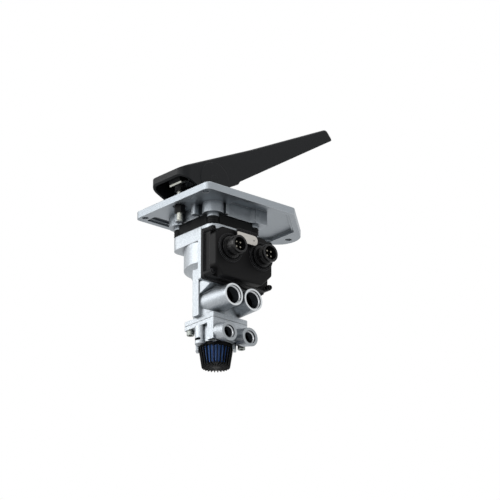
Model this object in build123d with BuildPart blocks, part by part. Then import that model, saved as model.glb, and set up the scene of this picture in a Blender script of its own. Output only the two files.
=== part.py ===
from build123d import *
import math
import os

# Foot brake module of a heavy vehicle, with its pedal travel sensor.
# A treadle pedal stands on a die-cast mounting plate that bolts to the cab floor.
# A two-circuit compressed air valve hangs under the plate, and the sensor box on its
# front measures how far the plunger has been pushed.
# All sizes are in millimetres. The origin is on the valve axis, in the plane of the
# plate's underside. +X runs from the heel to the toe of the pedal, -Y is the side with
# the ports and connectors, and +Z is up.

os.makedirs("parts", exist_ok=True)

# Clearances
run_gap = 0.05  # shaft, seal or pin in its bore, on the radius
air_gap = 0.3  # between faces that move past each other
seat_gap = 0.5  # round a cast piece that moves past another
through_all = 320.0  # longer than anything it cuts

# Mounting plate
plate_thick = 10.0
plate_heel = 77.5
plate_half = 75.0
plate_shoulder = 71.0
nose_start = 131.0
nose_half = 19.0
nose_tip = 137.0
plate_corner_r = 8.0
shoulder_r = 6.0
nose_corner_r = 8.0
plate_edge_r = 0.8
rim_wide = 7.0
ledge_wide = 3.5
ledge_deep = 2.5
pocket_deep = 5.5
pocket_start_x = -19.0
pocket_end_x = 113.0
heel_pocket_x = -63.0
heel_pocket_wide = 18.0
heel_pocket_y = plate_half - rim_wide - heel_pocket_wide
pocket_r = 3.0
floor_hole_r = 4.5
rear_hole_x = -70.0
rear_hole_in = 13.0
rear_hole_y = plate_half - rear_hole_in
nose_hole_x = 126.0
spotface_r = 8.5
spotface_deep = 0.6
drain_long = 6.0
drain_wide = 1.6
drain_x = -71.0
drain_y = -33.0

# Valve socket under the plate
valve_pitch = 68.0
socket_half = 43.0
socket_lobe_r = 14.5
socket_fillet = 5.0
socket_deep = 14.0
foot_r = 8.0
foot_tall = 4.0
lug_x = -50.5
lug_y = -17.0
lug_long = 9.0
lug_wide = 8.0
lug_corner_r = 2.0
lug_web = 3.0
block_x = 37.0
block_y = 41.0
block_long = 20.0
block_wide = 14.0
web_x = -21.0
web_thick = 5.0
web_wide = 10.0

# Bolts that hold the valve to the plate
valve_bolt_r = 4.0
valve_bolt_head_r = 6.5
valve_bolt_head_tall = 8.0
valve_hex_flats = 6.0
hex_deep = 4.0
bush_r = 7.2
bolt_end_cover = 1.0

# Plunger
stem_r = 8.0
plunger_head_r = 14.0
plunger_head_tall = 4.5
plunger_edge = 1.5
guide_r = 11.0
guide_flange_r = 15.0
guide_flange_tall = 2.0
gaiter_recess_r = 22.0
gaiter_floor = -4.0
gaiter_folds = 4
gaiter_wave = 4.5
gaiter_wall = 1.2

# Pedal pivot and roller
pivot_x = -32.0
pivot_z = 34.5
pivot_pin_r = 5.0
ear_r = 13.0
ear_inner = 16.0
ear_thick = 8.0
ear_foot_heel = -52.0
ear_foot_toe = -18.5
roller_r = 9.0
roller_wide = 14.0
roller_pin_r = 4.0
roller_edge = 1.0
pin_play = 0.3

# Pedal
pedal_slope = 26.0
pedal_heel_slope = 24.5
pedal_bend_x = 30.0
pedal_bend_z = 94.0
pedal_half = 35.0
pedal_wall = 3.6
pedal_roof = 4.2
pedal_heel = -87.0
pedal_toe_top_x = 164.3
pedal_toe_top_r = 6.0
pedal_toe_tip_x = 175.5
pedal_toe_tip_z = 146.4
pedal_step_x = 11.0
pedal_step_z = 43.0
pedal_lip_x = 8.5
pedal_lip_z = 38.7
pedal_heel_low_z = 31.8
pedal_heel_cut_x = -59.5
pedal_heel_cut_z = 19.3
pedal_heel_plan_r = 14.0
pedal_toe_plan_r = 4.5
pedal_edge_r = 2.5
pedal_boss_proud = 0.7
pedal_flank_x = 0.97
pedal_flank_z = 0.2
pedal_keel = 15.0
pedal_toe_wall = 5.0
hub_r = 9.5
cap_r = 6.5
cap_tall = 2.0
rib_thick = 3.0
rib_start_x = 30.0
rib_end_x = 150.0
rib_deep = 22.0
rib_inset = 5.0
rib_rows = 3
rib_row_pitch = 18.0
rib_bays = 5
bracket_thick = 4.0
bracket_half = 9.0
bracket_root = 14.0
tread_count = 9
tread_pitch = 12.0
tread_wide = 3.0
tread_deep = 1.0
tread_margin = 9.0
tread_mid = 74.0

# Pedal stop at the heel
stop_x = -62.5
stop_stud_r = 3.5
stop_stud_low = -20.0
stop_nut_flats = 13.0
stop_lock_tall = 10.0
stop_spot_r = 9.0
stop_spot_deep = 1.0
stop_collar_low = 20.5
stop_collar_tall = 3.5
buffer_r = 6.5
buffer_dome_r = 9.0
striker_long = 17.0
striker_wide = 25.0
striker_thick = 2.5
striker_drop = 16.0
striker_along = -110.7
striker_margin = 3.0
stud_point = 1.0

# Spacer between the socket and the valve
spacer_half = 40.0
spacer_tall = 15.0
spacer_corner_r = 4.0
spacer_bore_r = 22.0

# Upper valve housing
flange_half = 43.0
flange_corner_r = 13.0
flange_tall = 18.0
flange_lip = 7.0
body_r = 42.5
body_low = -76.0
barrel_r = 30.0
barrel_top = -91.0
body_shoulder_r = 22.0
pair_half = 29.5
pair_corner_r = 2.0
pair_joint = -152.0
pair_upper_tall = 6.3
pair_lower_tall = 6.0
gasket_tall = 0.6
pad_face = 31.0
pad_thick = 6.0
pad_half = 52.0
pad_low = -106.0
gusset_x = 29.0
gusset_thick = 9.0
gusset_low = -117.0
gusset_root_y = 5.0
side_rib_wide = 12.0
side_rib_reach = 35.0

# Air ports
upper_port_x = 16.5
upper_port_z = -126.7
upper_mouth = 56.0
upper_boss_r = 15.0
upper_bore_r = 11.7
upper_bore_deep = 20.0
upper_passage_r = 6.0
lower_port_x = 17.5
lower_port_z = -175.6
lower_mouth = 48.3
lower_boss_r = 12.6
lower_boss_root = 28.0
lower_root_r = 12.0
lower_root_z = -171.5
lower_bore_r = 7.95
lower_bore_deep = 14.0
lower_passage_r = 4.0
lower_passage_x = 13.5
boss_draft = 1.0
lead_in = 0.9
lead_in_deep = 2.0

# Bores on the valve axis
spring_bore_r = 25.0
upper_web_top = -88.0
upper_web_low = -94.7
upper_seat_r = 12.0
valve_bore_r = 22.0
lower_web_top = -160.0
lower_web_low = -167.7
lower_seat_r = 9.5
exhaust_bore_r = 15.0
gallery_r = 2.5
gallery_y = 20.1
gallery_overrun = 4.0
lower_gallery_r = 1.8
lower_gallery_y = 17.8

# Lower valve housing
lower_barrel_r = 25.0
lower_body_low = -180.0
spigot_r = 17.0
spigot_low = -188.0
pair_bolt_xy = 23.5
pair_bolt_r = 3.0
pair_bolt_head_r = 5.0
pair_bolt_head_tall = 6.0
pair_bolt_cover = 1.3
pair_hex_flats = 5.0
pair_hex_deep = 3.0
front_block_low = -179.0
pillar_low = -182.0
pillar_seat = -175.0
drain_boss_x = -25.0
drain_boss_y = 1.0
drain_boss_r = 7.5
drain_boss_low = -182.4
drain_slot_z = -176.6
drain_slot_long = 11.5
drain_slot_tall = 3.4
drain_slot_deep = 6.0
skirt_low = -186.5
skirt_r = 26.5
skirt_root = 6.0
skirt_tab_wide = 13.0
skirt_turn = -45.0

# Travel of the moving pieces, from rest to full braking
pedal_travel = 18.0
lever_arm = -pivot_x
plunger_travel = lever_arm * math.radians(pedal_travel)
piston_travel = 3.0
valve_travel = 2.0
exhaust_gap = piston_travel - valve_travel + air_gap

# Pieces inside the valve
roller_low = pivot_z - roller_r
plunger_top = roller_low - air_gap
spring_plate_r = 20.0
spring_plate_tall = 3.0
spring_plate_top = -30.0
graduating_r = 16.0
graduating_end_r = 14.0
graduating_bore_r = 6.0
piston_top = -64.0
piston_tall = 8.0
piston_tube_r = 8.0
piston_tube_bore_r = 5.5
seal_tall = 2.4
seal_deep = 2.6
upper_valve_r = 15.0
valve_disc_tall = 4.0
upper_valve_low = -124.0
carrier_top = -112.0
carrier_tall = 6.0
carrier_windows = 6
carrier_window_circle = 15.0
carrier_window_r = 3.0
relay_top = -140.0
relay_tall = 8.0
relay_tube_r = 6.5
relay_tube_bore_r = 4.5
lower_valve_r = 12.0
lower_valve_low = -184.0
exhaust_guide_tall = 5.0
exhaust_guide_top = -181.0
spring_turns = 3
spring_wire_r = 1.4
valve_wire_r = 0.8
spring_mean_r = 18.0
relay_spring_mean_r = 14.0
valve_spring_mean_r = 11.5
lower_spring_mean_r = 9.5

# Finger and target of the travel sensor
finger_half = 4.0
finger_inner = 20.8
finger_thick = 3.4
finger_low = -52.0
finger_foot = 4.0
finger_end = 38.0
finger_slot_half = 5.0
target_back = 34.2
target_thick = 5.0
target_half = 6.0
target_tall = 12.0

# Sensor box
box_half = 52.0
box_top = -37.0
box_low = -107.0
base_rim = 4.5
base_deep = 15.0
base_inset = 3.0
box_corner_r = 4.0
cover_heel = -50.0
cover_toe = 46.0
cover_top = -38.5
cover_low = -105.0
cover_face = 59.0
cover_corner = 17.0
cover_heel_corner = 12.5
cover_small_corner = 11.5
cover_edge_r = 2.2
cover_corner_r = 5.0
shell_wall = 2.5
screw_x = 48.0
screw_top_z = -41.0
screw_low_z = -101.0
screw_boss_r = 3.8
screw_boss_long = 20.0
screw_r = 1.75
screw_head_r = 2.9
screw_head_tall = 2.2
screw_bite = 4.0

# Connectors
connector_x = 26.0
connector_z = -66.0
connector_mouth = 79.5
connector_r = 12.0
connector_bore_r = 9.4
connector_collar_r = 14.5
connector_collar_long = 4.0
connector_flange_r = 16.0
connector_flange_tall = 2.5
connector_floor = 68.0
rim_outer_r = 19.3
rim_inner_r = 16.8
rim_proud = 2.2
contact_r = 1.0
contact_circle_r = 4.6
contact_long = 8.0
contact_count = 4
contact_root = 2.0
bayonet_wide = 3.4
bayonet_deep = 1.3
bayonet_start = 66.0
bayonet_long = 9.0
bayonet_count = 3

# Label and its carrier
label_heel = -19.0
label_long = 34.0
label_tall = 13.0
label_thick = 0.8
label_mid_z = -49.5
label_face = 66.1
label_hole_r = 1.1
label_end_r = 6.0
label_corner_r = 1.0
bridge_mid_x = -2.0
bridge_long = 20.0
bridge_low = -52.0
carrier_top_z = -38.0
carrier_thick = 2.0
carrier_corner_r = 1.5
carrier_slot_count = 3
carrier_slot_pitch = 7.0
carrier_slot_long = 4.5
carrier_slot_tall = 1.6

# Silencer
cage_top = -180.0
cage_low = -209.0
cage_top_r = 22.6
cage_low_r = 18.7
cage_wall = 2.4
cage_collar = 3.4
cage_floor = 2.6
slot_count = 26
slot_wide = 3.1
filter_wall = 2.0

# Worked out from the values above
socket_low = -socket_deep
foot_low = socket_low - foot_tall
flange_top = socket_low - spacer_tall
flange_low = flange_top - flange_tall
bolt_ends = (
    (-valve_pitch / 2, flange_top - flange_lip + bolt_end_cover),
    (valve_pitch / 2, flange_low + bolt_end_cover),
)
pair_top = pair_joint + pair_upper_tall
pair_low = pair_joint - pair_lower_tall
cover_back = pad_face + base_deep
lower_top = pair_joint - gasket_tall
finger_slot_top = finger_low + finger_foot + 3 * seat_gap
finger_slot_low = finger_low - plunger_travel - 2 * seat_gap
screw_places = [(x, z) for x in (-screw_x, screw_x) for z in (screw_top_z, screw_low_z)]
pedal_tilt = math.radians(pedal_slope)
heel_tilt = math.radians(pedal_heel_slope)
roof_drop = pedal_roof / math.cos(pedal_tilt)
pillar_half = pair_half - pair_bolt_xy
wall_low = plate_thick + seat_gap
boss_low_r = pivot_z - wall_low


def pedal_top_at(x):
    """Height of the pedal's top face, which bends up a little in front of the roller."""
    tilt = pedal_tilt if x > pedal_bend_x else heel_tilt
    return pedal_bend_z + (x - pedal_bend_x) * math.tan(tilt)


def pedal_low_at(x):
    """Height of the side walls' straight lower edge, between the step and the toe."""
    rise = (pedal_toe_tip_z - pedal_step_z) / (pedal_toe_tip_x - pedal_step_x)
    return pedal_step_z + (x - pedal_step_x) * rise


def roof_plane(tilt):
    """Plane of the top face on one side of its bend, with the bend as its origin."""
    return Plane(
        origin=(pedal_bend_x, 0, pedal_bend_z),
        x_dir=(math.cos(tilt), 0, math.sin(tilt)),
        z_dir=(-math.sin(tilt), 0, math.cos(tilt)),
    )


toe_roof = roof_plane(pedal_tilt)
heel_roof = roof_plane(heel_tilt)

# The buffer's dome touches the striker's lower face, a running gap away from it
stop_reach = striker_drop + striker_thick + buffer_dome_r + air_gap
dome_centre_z = pedal_top_at(stop_x) - stop_reach / math.cos(heel_tilt)


# Mounting plate: a die-cast plate with a rim, weight-saving pockets, the valve's socket
# and feet underneath, and the two ears of the pedal pivot on top.
with BuildPart() as base_plate:
    with BuildSketch() as plate_outline:
        with BuildLine():
            Polyline(
                (nose_start, nose_half),
                (plate_shoulder, plate_half),
                (-plate_heel, plate_half),
                (-plate_heel, -plate_half),
                (plate_shoulder, -plate_half),
                (nose_start, -nose_half),
            )
            ThreePointArc((nose_start, -nose_half), (nose_tip, 0), (nose_start, nose_half))
        make_face()
        for at, radius in (
            (-plate_heel, plate_corner_r),
            (plate_shoulder, shoulder_r),
            (nose_start, nose_corner_r),
        ):
            corners = plate_outline.vertices()
            fillet(corners.filter_by_position(Axis.X, at - seat_gap, at + seat_gap), radius)
    extrude(amount=plate_thick)
    chamfer(base_plate.faces().sort_by(Axis.Z)[-1].edges(), length=plate_edge_r)

    # Pockets between the rim and the socket, with a ledge along the rim
    for inset, deep in ((rim_wide, ledge_deep), (rim_wide + ledge_wide, pocket_deep)):
        pocket_heel = pocket_start_x + inset - rim_wide
        with BuildSketch():
            add(plate_outline.sketch)
            offset(amount=-inset, kind=Kind.INTERSECTION)
            with Locations(((pocket_heel + pocket_end_x) / 2, 0)):
                Rectangle(pocket_end_x - pocket_heel, 2 * plate_half, mode=Mode.INTERSECT)
        extrude(amount=deep, mode=Mode.SUBTRACT)
        with BuildSketch():
            with Locations(
                (
                    (heel_pocket_x + pocket_start_x) / 2,
                    (heel_pocket_y + plate_half - inset) / 2,
                )
            ):
                RectangleRounded(
                    pocket_start_x - heel_pocket_x - 2 * (inset - rim_wide),
                    plate_half - inset - heel_pocket_y,
                    pocket_r,
                )
        extrude(amount=deep, mode=Mode.SUBTRACT)

    # Socket with a lobe round each bolt, and the feet that the valve stands off on
    with BuildSketch(Plane.XY.offset(pocket_deep)) as socket:
        Rectangle(2 * socket_half, 2 * socket_half)
        with GridLocations(valve_pitch, valve_pitch, 2, 2):
            Circle(socket_lobe_r)
        fillet(socket.vertices(), socket_fillet)
        with Locations((lug_x, lug_y), (lug_x, -lug_y)):
            RectangleRounded(lug_long, lug_wide, lug_corner_r)
        with Locations(((lug_x - socket_half) / 2, lug_y), ((lug_x - socket_half) / 2, -lug_y)):
            Rectangle(-lug_x - socket_half, lug_web)
        with Locations((block_x, -block_y)):
            Rectangle(block_long, block_wide)
        with Locations((web_x, -socket_half), (web_x, socket_half)):
            Rectangle(web_thick, web_wide)
    extrude(amount=-(pocket_deep + socket_deep))
    with BuildSketch(Plane.XY.offset(socket_low)):
        with GridLocations(valve_pitch, valve_pitch, 2, 2):
            Circle(foot_r)
    extrude(amount=-foot_tall)

    # Ears of the pedal pivot
    for start in (-ear_inner - ear_thick, ear_inner):
        with BuildSketch(Plane.XZ.offset(start)):
            with BuildLine():
                Polyline(
                    (ear_foot_heel, plate_thick),
                    (pivot_x - ear_r, pivot_z),
                    (pivot_x + ear_r, pivot_z),
                    (ear_foot_toe, plate_thick),
                    close=True,
                )
            make_face()
            with Locations((pivot_x, pivot_z)):
                Circle(ear_r)
        extrude(amount=ear_thick)
    with BuildSketch(Plane.XZ.offset(-plate_half)):
        with Locations((pivot_x, pivot_z)):
            Circle(pivot_pin_r + run_gap)
    extrude(amount=2 * plate_half, mode=Mode.SUBTRACT)

    # Recess of the gaiter, with the guide's bore below it
    with BuildSketch(Plane.XY.offset(plate_thick)):
        Circle(gaiter_recess_r)
    extrude(amount=gaiter_floor - plate_thick, mode=Mode.SUBTRACT)
    with BuildSketch(Plane.XY.offset(socket_low)):
        Circle(guide_r)
    extrude(amount=gaiter_floor - socket_low, mode=Mode.SUBTRACT)

    # Holes of the floor bolts, the valve bolts and the stop stud, with a spotface for
    # the lock nut underneath, and a drain slot
    with Locations(Plane.XY.offset(plate_thick)):
        with Locations(
            (rear_hole_x, rear_hole_y), (rear_hole_x, -rear_hole_y), (nose_hole_x, 0)
        ):
            CounterBoreHole(floor_hole_r, spotface_r, spotface_deep, plate_thick)
        with Locations((stop_x, 0)):
            Hole(stop_stud_r, plate_thick)
        with GridLocations(valve_pitch, valve_pitch, 2, 2):
            CounterBoreHole(
                valve_bolt_r + run_gap,
                valve_bolt_head_r + run_gap,
                valve_bolt_head_tall,
                plate_thick - foot_low,
            )
    with BuildSketch():
        with Locations((stop_x, 0)):
            Circle(stop_spot_r)
    extrude(amount=stop_spot_deep, mode=Mode.SUBTRACT)
    with BuildSketch(Plane.XY.offset(plate_thick)):
        with Locations((drain_x, drain_y)):
            SlotOverall(drain_long, drain_wide, rotation=90)
    extrude(amount=-plate_thick, mode=Mode.SUBTRACT)
base_plate.part.label = "base_plate"
export_step(base_plate.part, "parts/base_plate.step")

# Guide of the plunger, a flanged plastic bush in the plate
with BuildPart() as plunger_guide:
    with BuildSketch(Plane.XZ):
        with BuildLine():
            Polyline(
                (stem_r + run_gap, socket_low),
                (guide_r, socket_low),
                (guide_r, gaiter_floor),
                (guide_flange_r, gaiter_floor),
                (guide_flange_r, gaiter_floor + guide_flange_tall),
                (stem_r + run_gap, gaiter_floor + guide_flange_tall),
                close=True,
            )
        make_face()
    revolve(axis=Axis.Z)
plunger_guide.part.label = "plunger_guide"
export_step(plunger_guide.part, "parts/plunger_guide.step")

# Spacer block between the socket and the valve, relieved round the four feet
with BuildPart() as spacer_block:
    with BuildSketch(Plane.XY.offset(flange_top)):
        RectangleRounded(2 * spacer_half, 2 * spacer_half, spacer_corner_r)
        with GridLocations(valve_pitch, valve_pitch, 2, 2):
            Circle(foot_r + seat_gap, mode=Mode.SUBTRACT)
        Circle(spacer_bore_r, mode=Mode.SUBTRACT)
    extrude(amount=spacer_tall)
spacer_block.part.label = "spacer_block"
export_step(spacer_block.part, "parts/spacer_block.step")

# Bushes between the plate's feet and the valve's flange
with BuildPart() as flange_bushes:
    with BuildSketch(Plane.XY.offset(flange_top)):
        with GridLocations(valve_pitch, valve_pitch, 2, 2):
            Circle(bush_r)
            Circle(valve_bolt_r + run_gap, mode=Mode.SUBTRACT)
    extrude(amount=foot_low - flange_top)
flange_bushes.part.label = "flange_bushes"
export_step(flange_bushes.part, "parts/flange_bushes.step")

# Socket-head bolts that hold the valve to the plate
with BuildPart() as valve_bolts:
    head_low = plate_thick - valve_bolt_head_tall
    for y, end in bolt_ends:
        places = ((-valve_pitch / 2, y), (valve_pitch / 2, y))
        with BuildSketch(Plane.XY.offset(plate_thick)):
            with Locations(*places):
                Circle(valve_bolt_head_r)
        extrude(amount=-valve_bolt_head_tall)
        with BuildSketch(Plane.XY.offset(head_low)):
            with Locations(*places):
                Circle(valve_bolt_r)
        extrude(amount=end - head_low)
        with BuildSketch(Plane.XY.offset(plate_thick)):
            with Locations(*places):
                RegularPolygon(valve_hex_flats / 2, 6, major_radius=False)
        extrude(amount=-hex_deep, mode=Mode.SUBTRACT)
valve_bolts.part.label = "valve_bolts"
export_step(valve_bolts.part, "parts/valve_bolts.step")

# Upper valve housing, a casting with the flange, the sensor's pad and two air ports
with BuildPart() as upper_housing:
    with BuildSketch(Plane.XY.offset(flange_top)):
        RectangleRounded(2 * flange_half, 2 * flange_half, flange_corner_r)
    extrude(amount=-flange_tall)
    with BuildSketch(Plane.XZ):
        with BuildLine():
            Polyline(
                (body_r, body_low),
                (body_r, flange_low),
                (0, flange_low),
                (0, pair_top),
                (barrel_r, pair_top),
                (barrel_r, barrel_top),
            )
            RadiusArc((barrel_r, barrel_top), (body_r, body_low), body_shoulder_r)
        make_face()
    revolve(axis=Axis.Z)
    with BuildSketch(Plane.XY.offset(pair_top)):
        RectangleRounded(2 * pair_half, 2 * pair_half, pair_corner_r)
    extrude(amount=pair_joint - pair_top)

    # Flat for the sensor box: everything in front of the pad is cut away under the lip
    with BuildSketch(Plane.XZ.offset(pad_face)):
        with Locations((0, (flange_top - flange_lip + pad_low) / 2)):
            Rectangle(2 * (pad_half + seat_gap), flange_top - flange_lip - pad_low)
    extrude(amount=body_r, mode=Mode.SUBTRACT)
    with BuildSketch(Plane.XZ.offset(pad_face - pad_thick)):
        with Locations((0, (box_top + pad_low) / 2)):
            Rectangle(2 * pad_half, box_top - pad_low)
    extrude(amount=pad_thick)

    # Sloping gussets carry the pad's lower edge down to the barrel
    for side in (-1, 1):
        with BuildSketch(Plane.YZ.offset(side * gusset_x - gusset_thick / 2)):
            with BuildLine():
                Polyline(
                    (-pad_face, pad_low),
                    (-pad_face, pad_low + pad_thick),
                    (-gusset_root_y, pad_low + pad_thick),
                    (-gusset_root_y, gusset_low),
                    close=True,
                )
            make_face()
        extrude(amount=gusset_thick)

    # Rib down the heel side of the barrel
    with BuildSketch(Plane.XY.offset(pair_top)):
        with Locations((-side_rib_reach / 2, 0)):
            Rectangle(side_rib_reach, side_rib_wide)
    extrude(amount=body_low - pair_top)

    # Air port bosses, with a little draft towards the mouth
    for side in (-1, 1):
        port_x = side * upper_port_x
        with BuildSketch(Plane.XY.offset(upper_port_z)):
            with BuildLine():
                Polyline(
                    (port_x, 0),
                    (port_x, -upper_mouth),
                    (port_x + upper_boss_r, -upper_mouth),
                    (port_x + upper_boss_r + boss_draft, 0),
                    close=True,
                )
            make_face()
        revolve(axis=Axis((port_x, 0, upper_port_z), (0, 1, 0)))

    # Bores on the valve axis: spring chamber, inlet seat and valve chamber
    with BuildSketch(Plane.XY.offset(flange_top)):
        Circle(spring_bore_r)
    extrude(amount=upper_web_top - flange_top, mode=Mode.SUBTRACT)
    with BuildSketch(Plane.XY.offset(upper_web_top)):
        Circle(upper_seat_r)
    extrude(amount=upper_web_low - upper_web_top, mode=Mode.SUBTRACT)
    with BuildSketch(Plane.XY.offset(upper_web_low)):
        Circle(valve_bore_r)
    extrude(amount=pair_joint - upper_web_low, mode=Mode.SUBTRACT)

    # Port bores with a lead-in, and the passages behind them
    for side in (-1, 1):
        place = (side * upper_port_x, upper_port_z)
        passage_end = valve_bore_r - upper_passage_r if side < 0 else gallery_y
        for start, radius, end in (
            (upper_mouth, upper_bore_r + lead_in, upper_mouth - lead_in_deep),
            (upper_mouth, upper_bore_r, upper_mouth - upper_bore_deep),
            (upper_mouth - upper_bore_deep, upper_passage_r, passage_end),
        ):
            with BuildSketch(Plane.XZ.offset(start)):
                with Locations(place):
                    Circle(radius)
            extrude(amount=end - start, mode=Mode.SUBTRACT)

    # Gallery from the delivery port up to the space under the piston
    with BuildSketch(Plane.XY.offset(upper_port_z)):
        with Locations((upper_port_x, -gallery_y)):
            Circle(gallery_r)
    extrude(amount=upper_web_top + gallery_overrun - upper_port_z, mode=Mode.SUBTRACT)

    # Slot that the sensor's driving finger moves in
    with BuildSketch(Plane.XZ.offset(pad_face)):
        with Locations((0, (finger_slot_top + finger_slot_low) / 2)):
            Rectangle(2 * finger_slot_half, finger_slot_top - finger_slot_low)
    extrude(amount=spring_bore_r - 2 * seat_gap - pad_face, mode=Mode.SUBTRACT)

    # Tapped holes of the valve bolts, the pair bolts and the sensor screws
    for y, end in bolt_ends:
        with BuildSketch(Plane.XY.offset(flange_top)):
            with Locations((-valve_pitch / 2, y), (valve_pitch / 2, y)):
                Circle(valve_bolt_r)
        extrude(amount=end - flange_top, mode=Mode.SUBTRACT)
    with BuildSketch(Plane.XY.offset(pair_joint)):
        with GridLocations(2 * pair_bolt_xy, 2 * pair_bolt_xy, 2, 2):
            Circle(pair_bolt_r)
    extrude(amount=pair_upper_tall - pair_bolt_cover, mode=Mode.SUBTRACT)
    with BuildSketch(Plane.XZ.offset(pad_face)):
        with Locations(*screw_places):
            Circle(screw_r)
    extrude(amount=-screw_bite, mode=Mode.SUBTRACT)
upper_housing.part.label = "upper_housing"
export_step(upper_housing.part, "parts/upper_housing.step")

# Gasket between the two valve housings
with BuildPart() as pair_gasket:
    with BuildSketch(Plane.XY.offset(lower_top)):
        RectangleRounded(2 * pair_half, 2 * pair_half, pair_corner_r)
        Circle(valve_bore_r, mode=Mode.SUBTRACT)
        with GridLocations(2 * pair_bolt_xy, 2 * pair_bolt_xy, 2, 2):
            Circle(pair_bolt_r + run_gap, mode=Mode.SUBTRACT)
    extrude(amount=gasket_tall)
pair_gasket.part.label = "pair_gasket"
export_step(pair_gasket.part, "parts/pair_gasket.step")

# Lower valve housing, with two smaller ports and the spigot of the silencer
with BuildPart() as lower_housing:
    with BuildSketch(Plane.XY.offset(lower_top)):
        RectangleRounded(2 * pair_half, 2 * pair_half, pair_corner_r)
    extrude(amount=pair_low - lower_top)
    with BuildSketch(Plane.XY.offset(pair_low)):
        Circle(lower_barrel_r)
    extrude(amount=lower_body_low - pair_low)
    with BuildSketch(Plane.XY.offset(pair_low)):
        with Locations((0, -pair_bolt_xy)):
            Rectangle(2 * pair_half, 2 * pillar_half)
    extrude(amount=front_block_low - pair_low)
    with BuildSketch(Plane.XY.offset(pair_low)):
        with Locations((-pair_bolt_xy, -pair_bolt_xy)):
            Rectangle(2 * pillar_half, 2 * pillar_half)
    extrude(amount=pillar_low - pair_low)
    with BuildSketch(Plane.XY.offset(pair_low)):
        with Locations((drain_boss_x, drain_boss_y)):
            Circle(drain_boss_r)
    extrude(amount=drain_boss_low - pair_low)
    for side in (-1, 1):
        for start, port_z, radius in (
            (lower_boss_root, lower_root_z, lower_root_r),
            (lower_mouth, lower_port_z, lower_boss_r),
        ):
            with BuildSketch(Plane.XZ.offset(start)):
                with Locations((side * lower_port_x, port_z)):
                    Circle(radius)
        loft()

    # Room for the silencer's rim, then the spigot and the two guard tabs beside it
    with BuildSketch(Plane.XY.offset(lower_body_low)):
        Circle(cage_top_r + seat_gap)
    rim_room = lower_port_z - lower_boss_r - 2 * boss_draft - lower_body_low
    extrude(amount=rim_room, mode=Mode.SUBTRACT)
    with BuildSketch(Plane.XY.offset(lower_body_low)):
        Circle(spigot_r)
    extrude(amount=spigot_low - lower_body_low)
    with BuildSketch(Plane.XY.offset(lower_body_low + skirt_root)):
        Circle(skirt_r)
        Circle(cage_top_r + seat_gap, mode=Mode.SUBTRACT)
        Rectangle(through_all, skirt_tab_wide, rotation=skirt_turn, mode=Mode.INTERSECT)
    extrude(amount=skirt_low - lower_body_low - skirt_root)

    # Bores on the valve axis: relay chamber, inlet seat and exhaust
    with BuildSketch(Plane.XY.offset(lower_top)):
        Circle(valve_bore_r)
    extrude(amount=lower_web_top - lower_top, mode=Mode.SUBTRACT)
    with BuildSketch(Plane.XY.offset(lower_web_top)):
        Circle(lower_seat_r)
    extrude(amount=lower_web_low - lower_web_top, mode=Mode.SUBTRACT)
    with BuildSketch(Plane.XY.offset(lower_web_low)):
        Circle(exhaust_bore_r)
    extrude(amount=spigot_low - lower_web_low, mode=Mode.SUBTRACT)

    # Port bores with a lead-in, and the passages behind them
    for side in (-1, 1):
        passage_end = exhaust_bore_r / 2 if side < 0 else lower_gallery_y
        for x, start, radius, end in (
            (lower_port_x, lower_mouth, lower_bore_r + lead_in, lower_mouth - lead_in_deep),
            (lower_port_x, lower_mouth, lower_bore_r, lower_mouth - lower_bore_deep),
            (lower_passage_x, lower_mouth - lower_bore_deep, lower_passage_r, passage_end),
        ):
            with BuildSketch(Plane.XZ.offset(start)):
                with Locations((side * x, lower_port_z)):
                    Circle(radius)
            extrude(amount=end - start, mode=Mode.SUBTRACT)
    with BuildSketch(Plane.XY.offset(lower_port_z)):
        with Locations((lower_passage_x, -lower_gallery_y)):
            Circle(lower_gallery_r)
    extrude(amount=lower_web_top + gallery_overrun - lower_port_z, mode=Mode.SUBTRACT)

    # Holes of the pair bolts, one sunk in its pillar, and the slot in the drain boss
    with BuildSketch(Plane.XY.offset(lower_top)):
        with GridLocations(2 * pair_bolt_xy, 2 * pair_bolt_xy, 2, 2):
            Circle(pair_bolt_r + run_gap)
    extrude(amount=front_block_low - lower_top, mode=Mode.SUBTRACT)
    for x, seat, room in (
        (-pair_bolt_xy, pillar_seat, 2 * run_gap),
        (pair_bolt_xy, front_block_low, seat_gap),
    ):
        with BuildSketch(Plane.XY.offset(seat)):
            with Locations((x, -pair_bolt_xy)):
                Circle(pair_bolt_head_r + room)
        extrude(amount=skirt_low - seat, mode=Mode.SUBTRACT)
    with BuildSketch(Plane.YZ.offset(drain_boss_x - drain_boss_r)):
        with Locations((drain_boss_y, drain_slot_z)):
            SlotOverall(drain_slot_long, drain_slot_tall)
    extrude(amount=drain_slot_deep, mode=Mode.SUBTRACT)
lower_housing.part.label = "lower_housing"
export_step(lower_housing.part, "parts/lower_housing.step")

# Bolts of the housing pair: the front two are long and reach through the front block
with BuildPart() as pair_bolts:
    for x_side, y_side, seat in (
        (-1, -1, pillar_seat),
        (1, -1, front_block_low),
        (-1, 1, pair_low),
        (1, 1, pair_low),
    ):
        place = (x_side * pair_bolt_xy, y_side * pair_bolt_xy)
        with BuildSketch(Plane.XY.offset(seat)):
            with Locations(place):
                Circle(pair_bolt_head_r)
        extrude(amount=-pair_bolt_head_tall)
        with BuildSketch(Plane.XY.offset(seat)):
            with Locations(place):
                Circle(pair_bolt_r)
        extrude(amount=pair_top - pair_bolt_cover - seat)
        with BuildSketch(Plane.XY.offset(seat - pair_bolt_head_tall)):
            with Locations(place):
                RegularPolygon(pair_hex_flats / 2, 6, major_radius=False)
        extrude(amount=pair_hex_deep, mode=Mode.SUBTRACT)
pair_bolts.part.label = "pair_bolts"
export_step(pair_bolts.part, "parts/pair_bolts.step")

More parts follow.
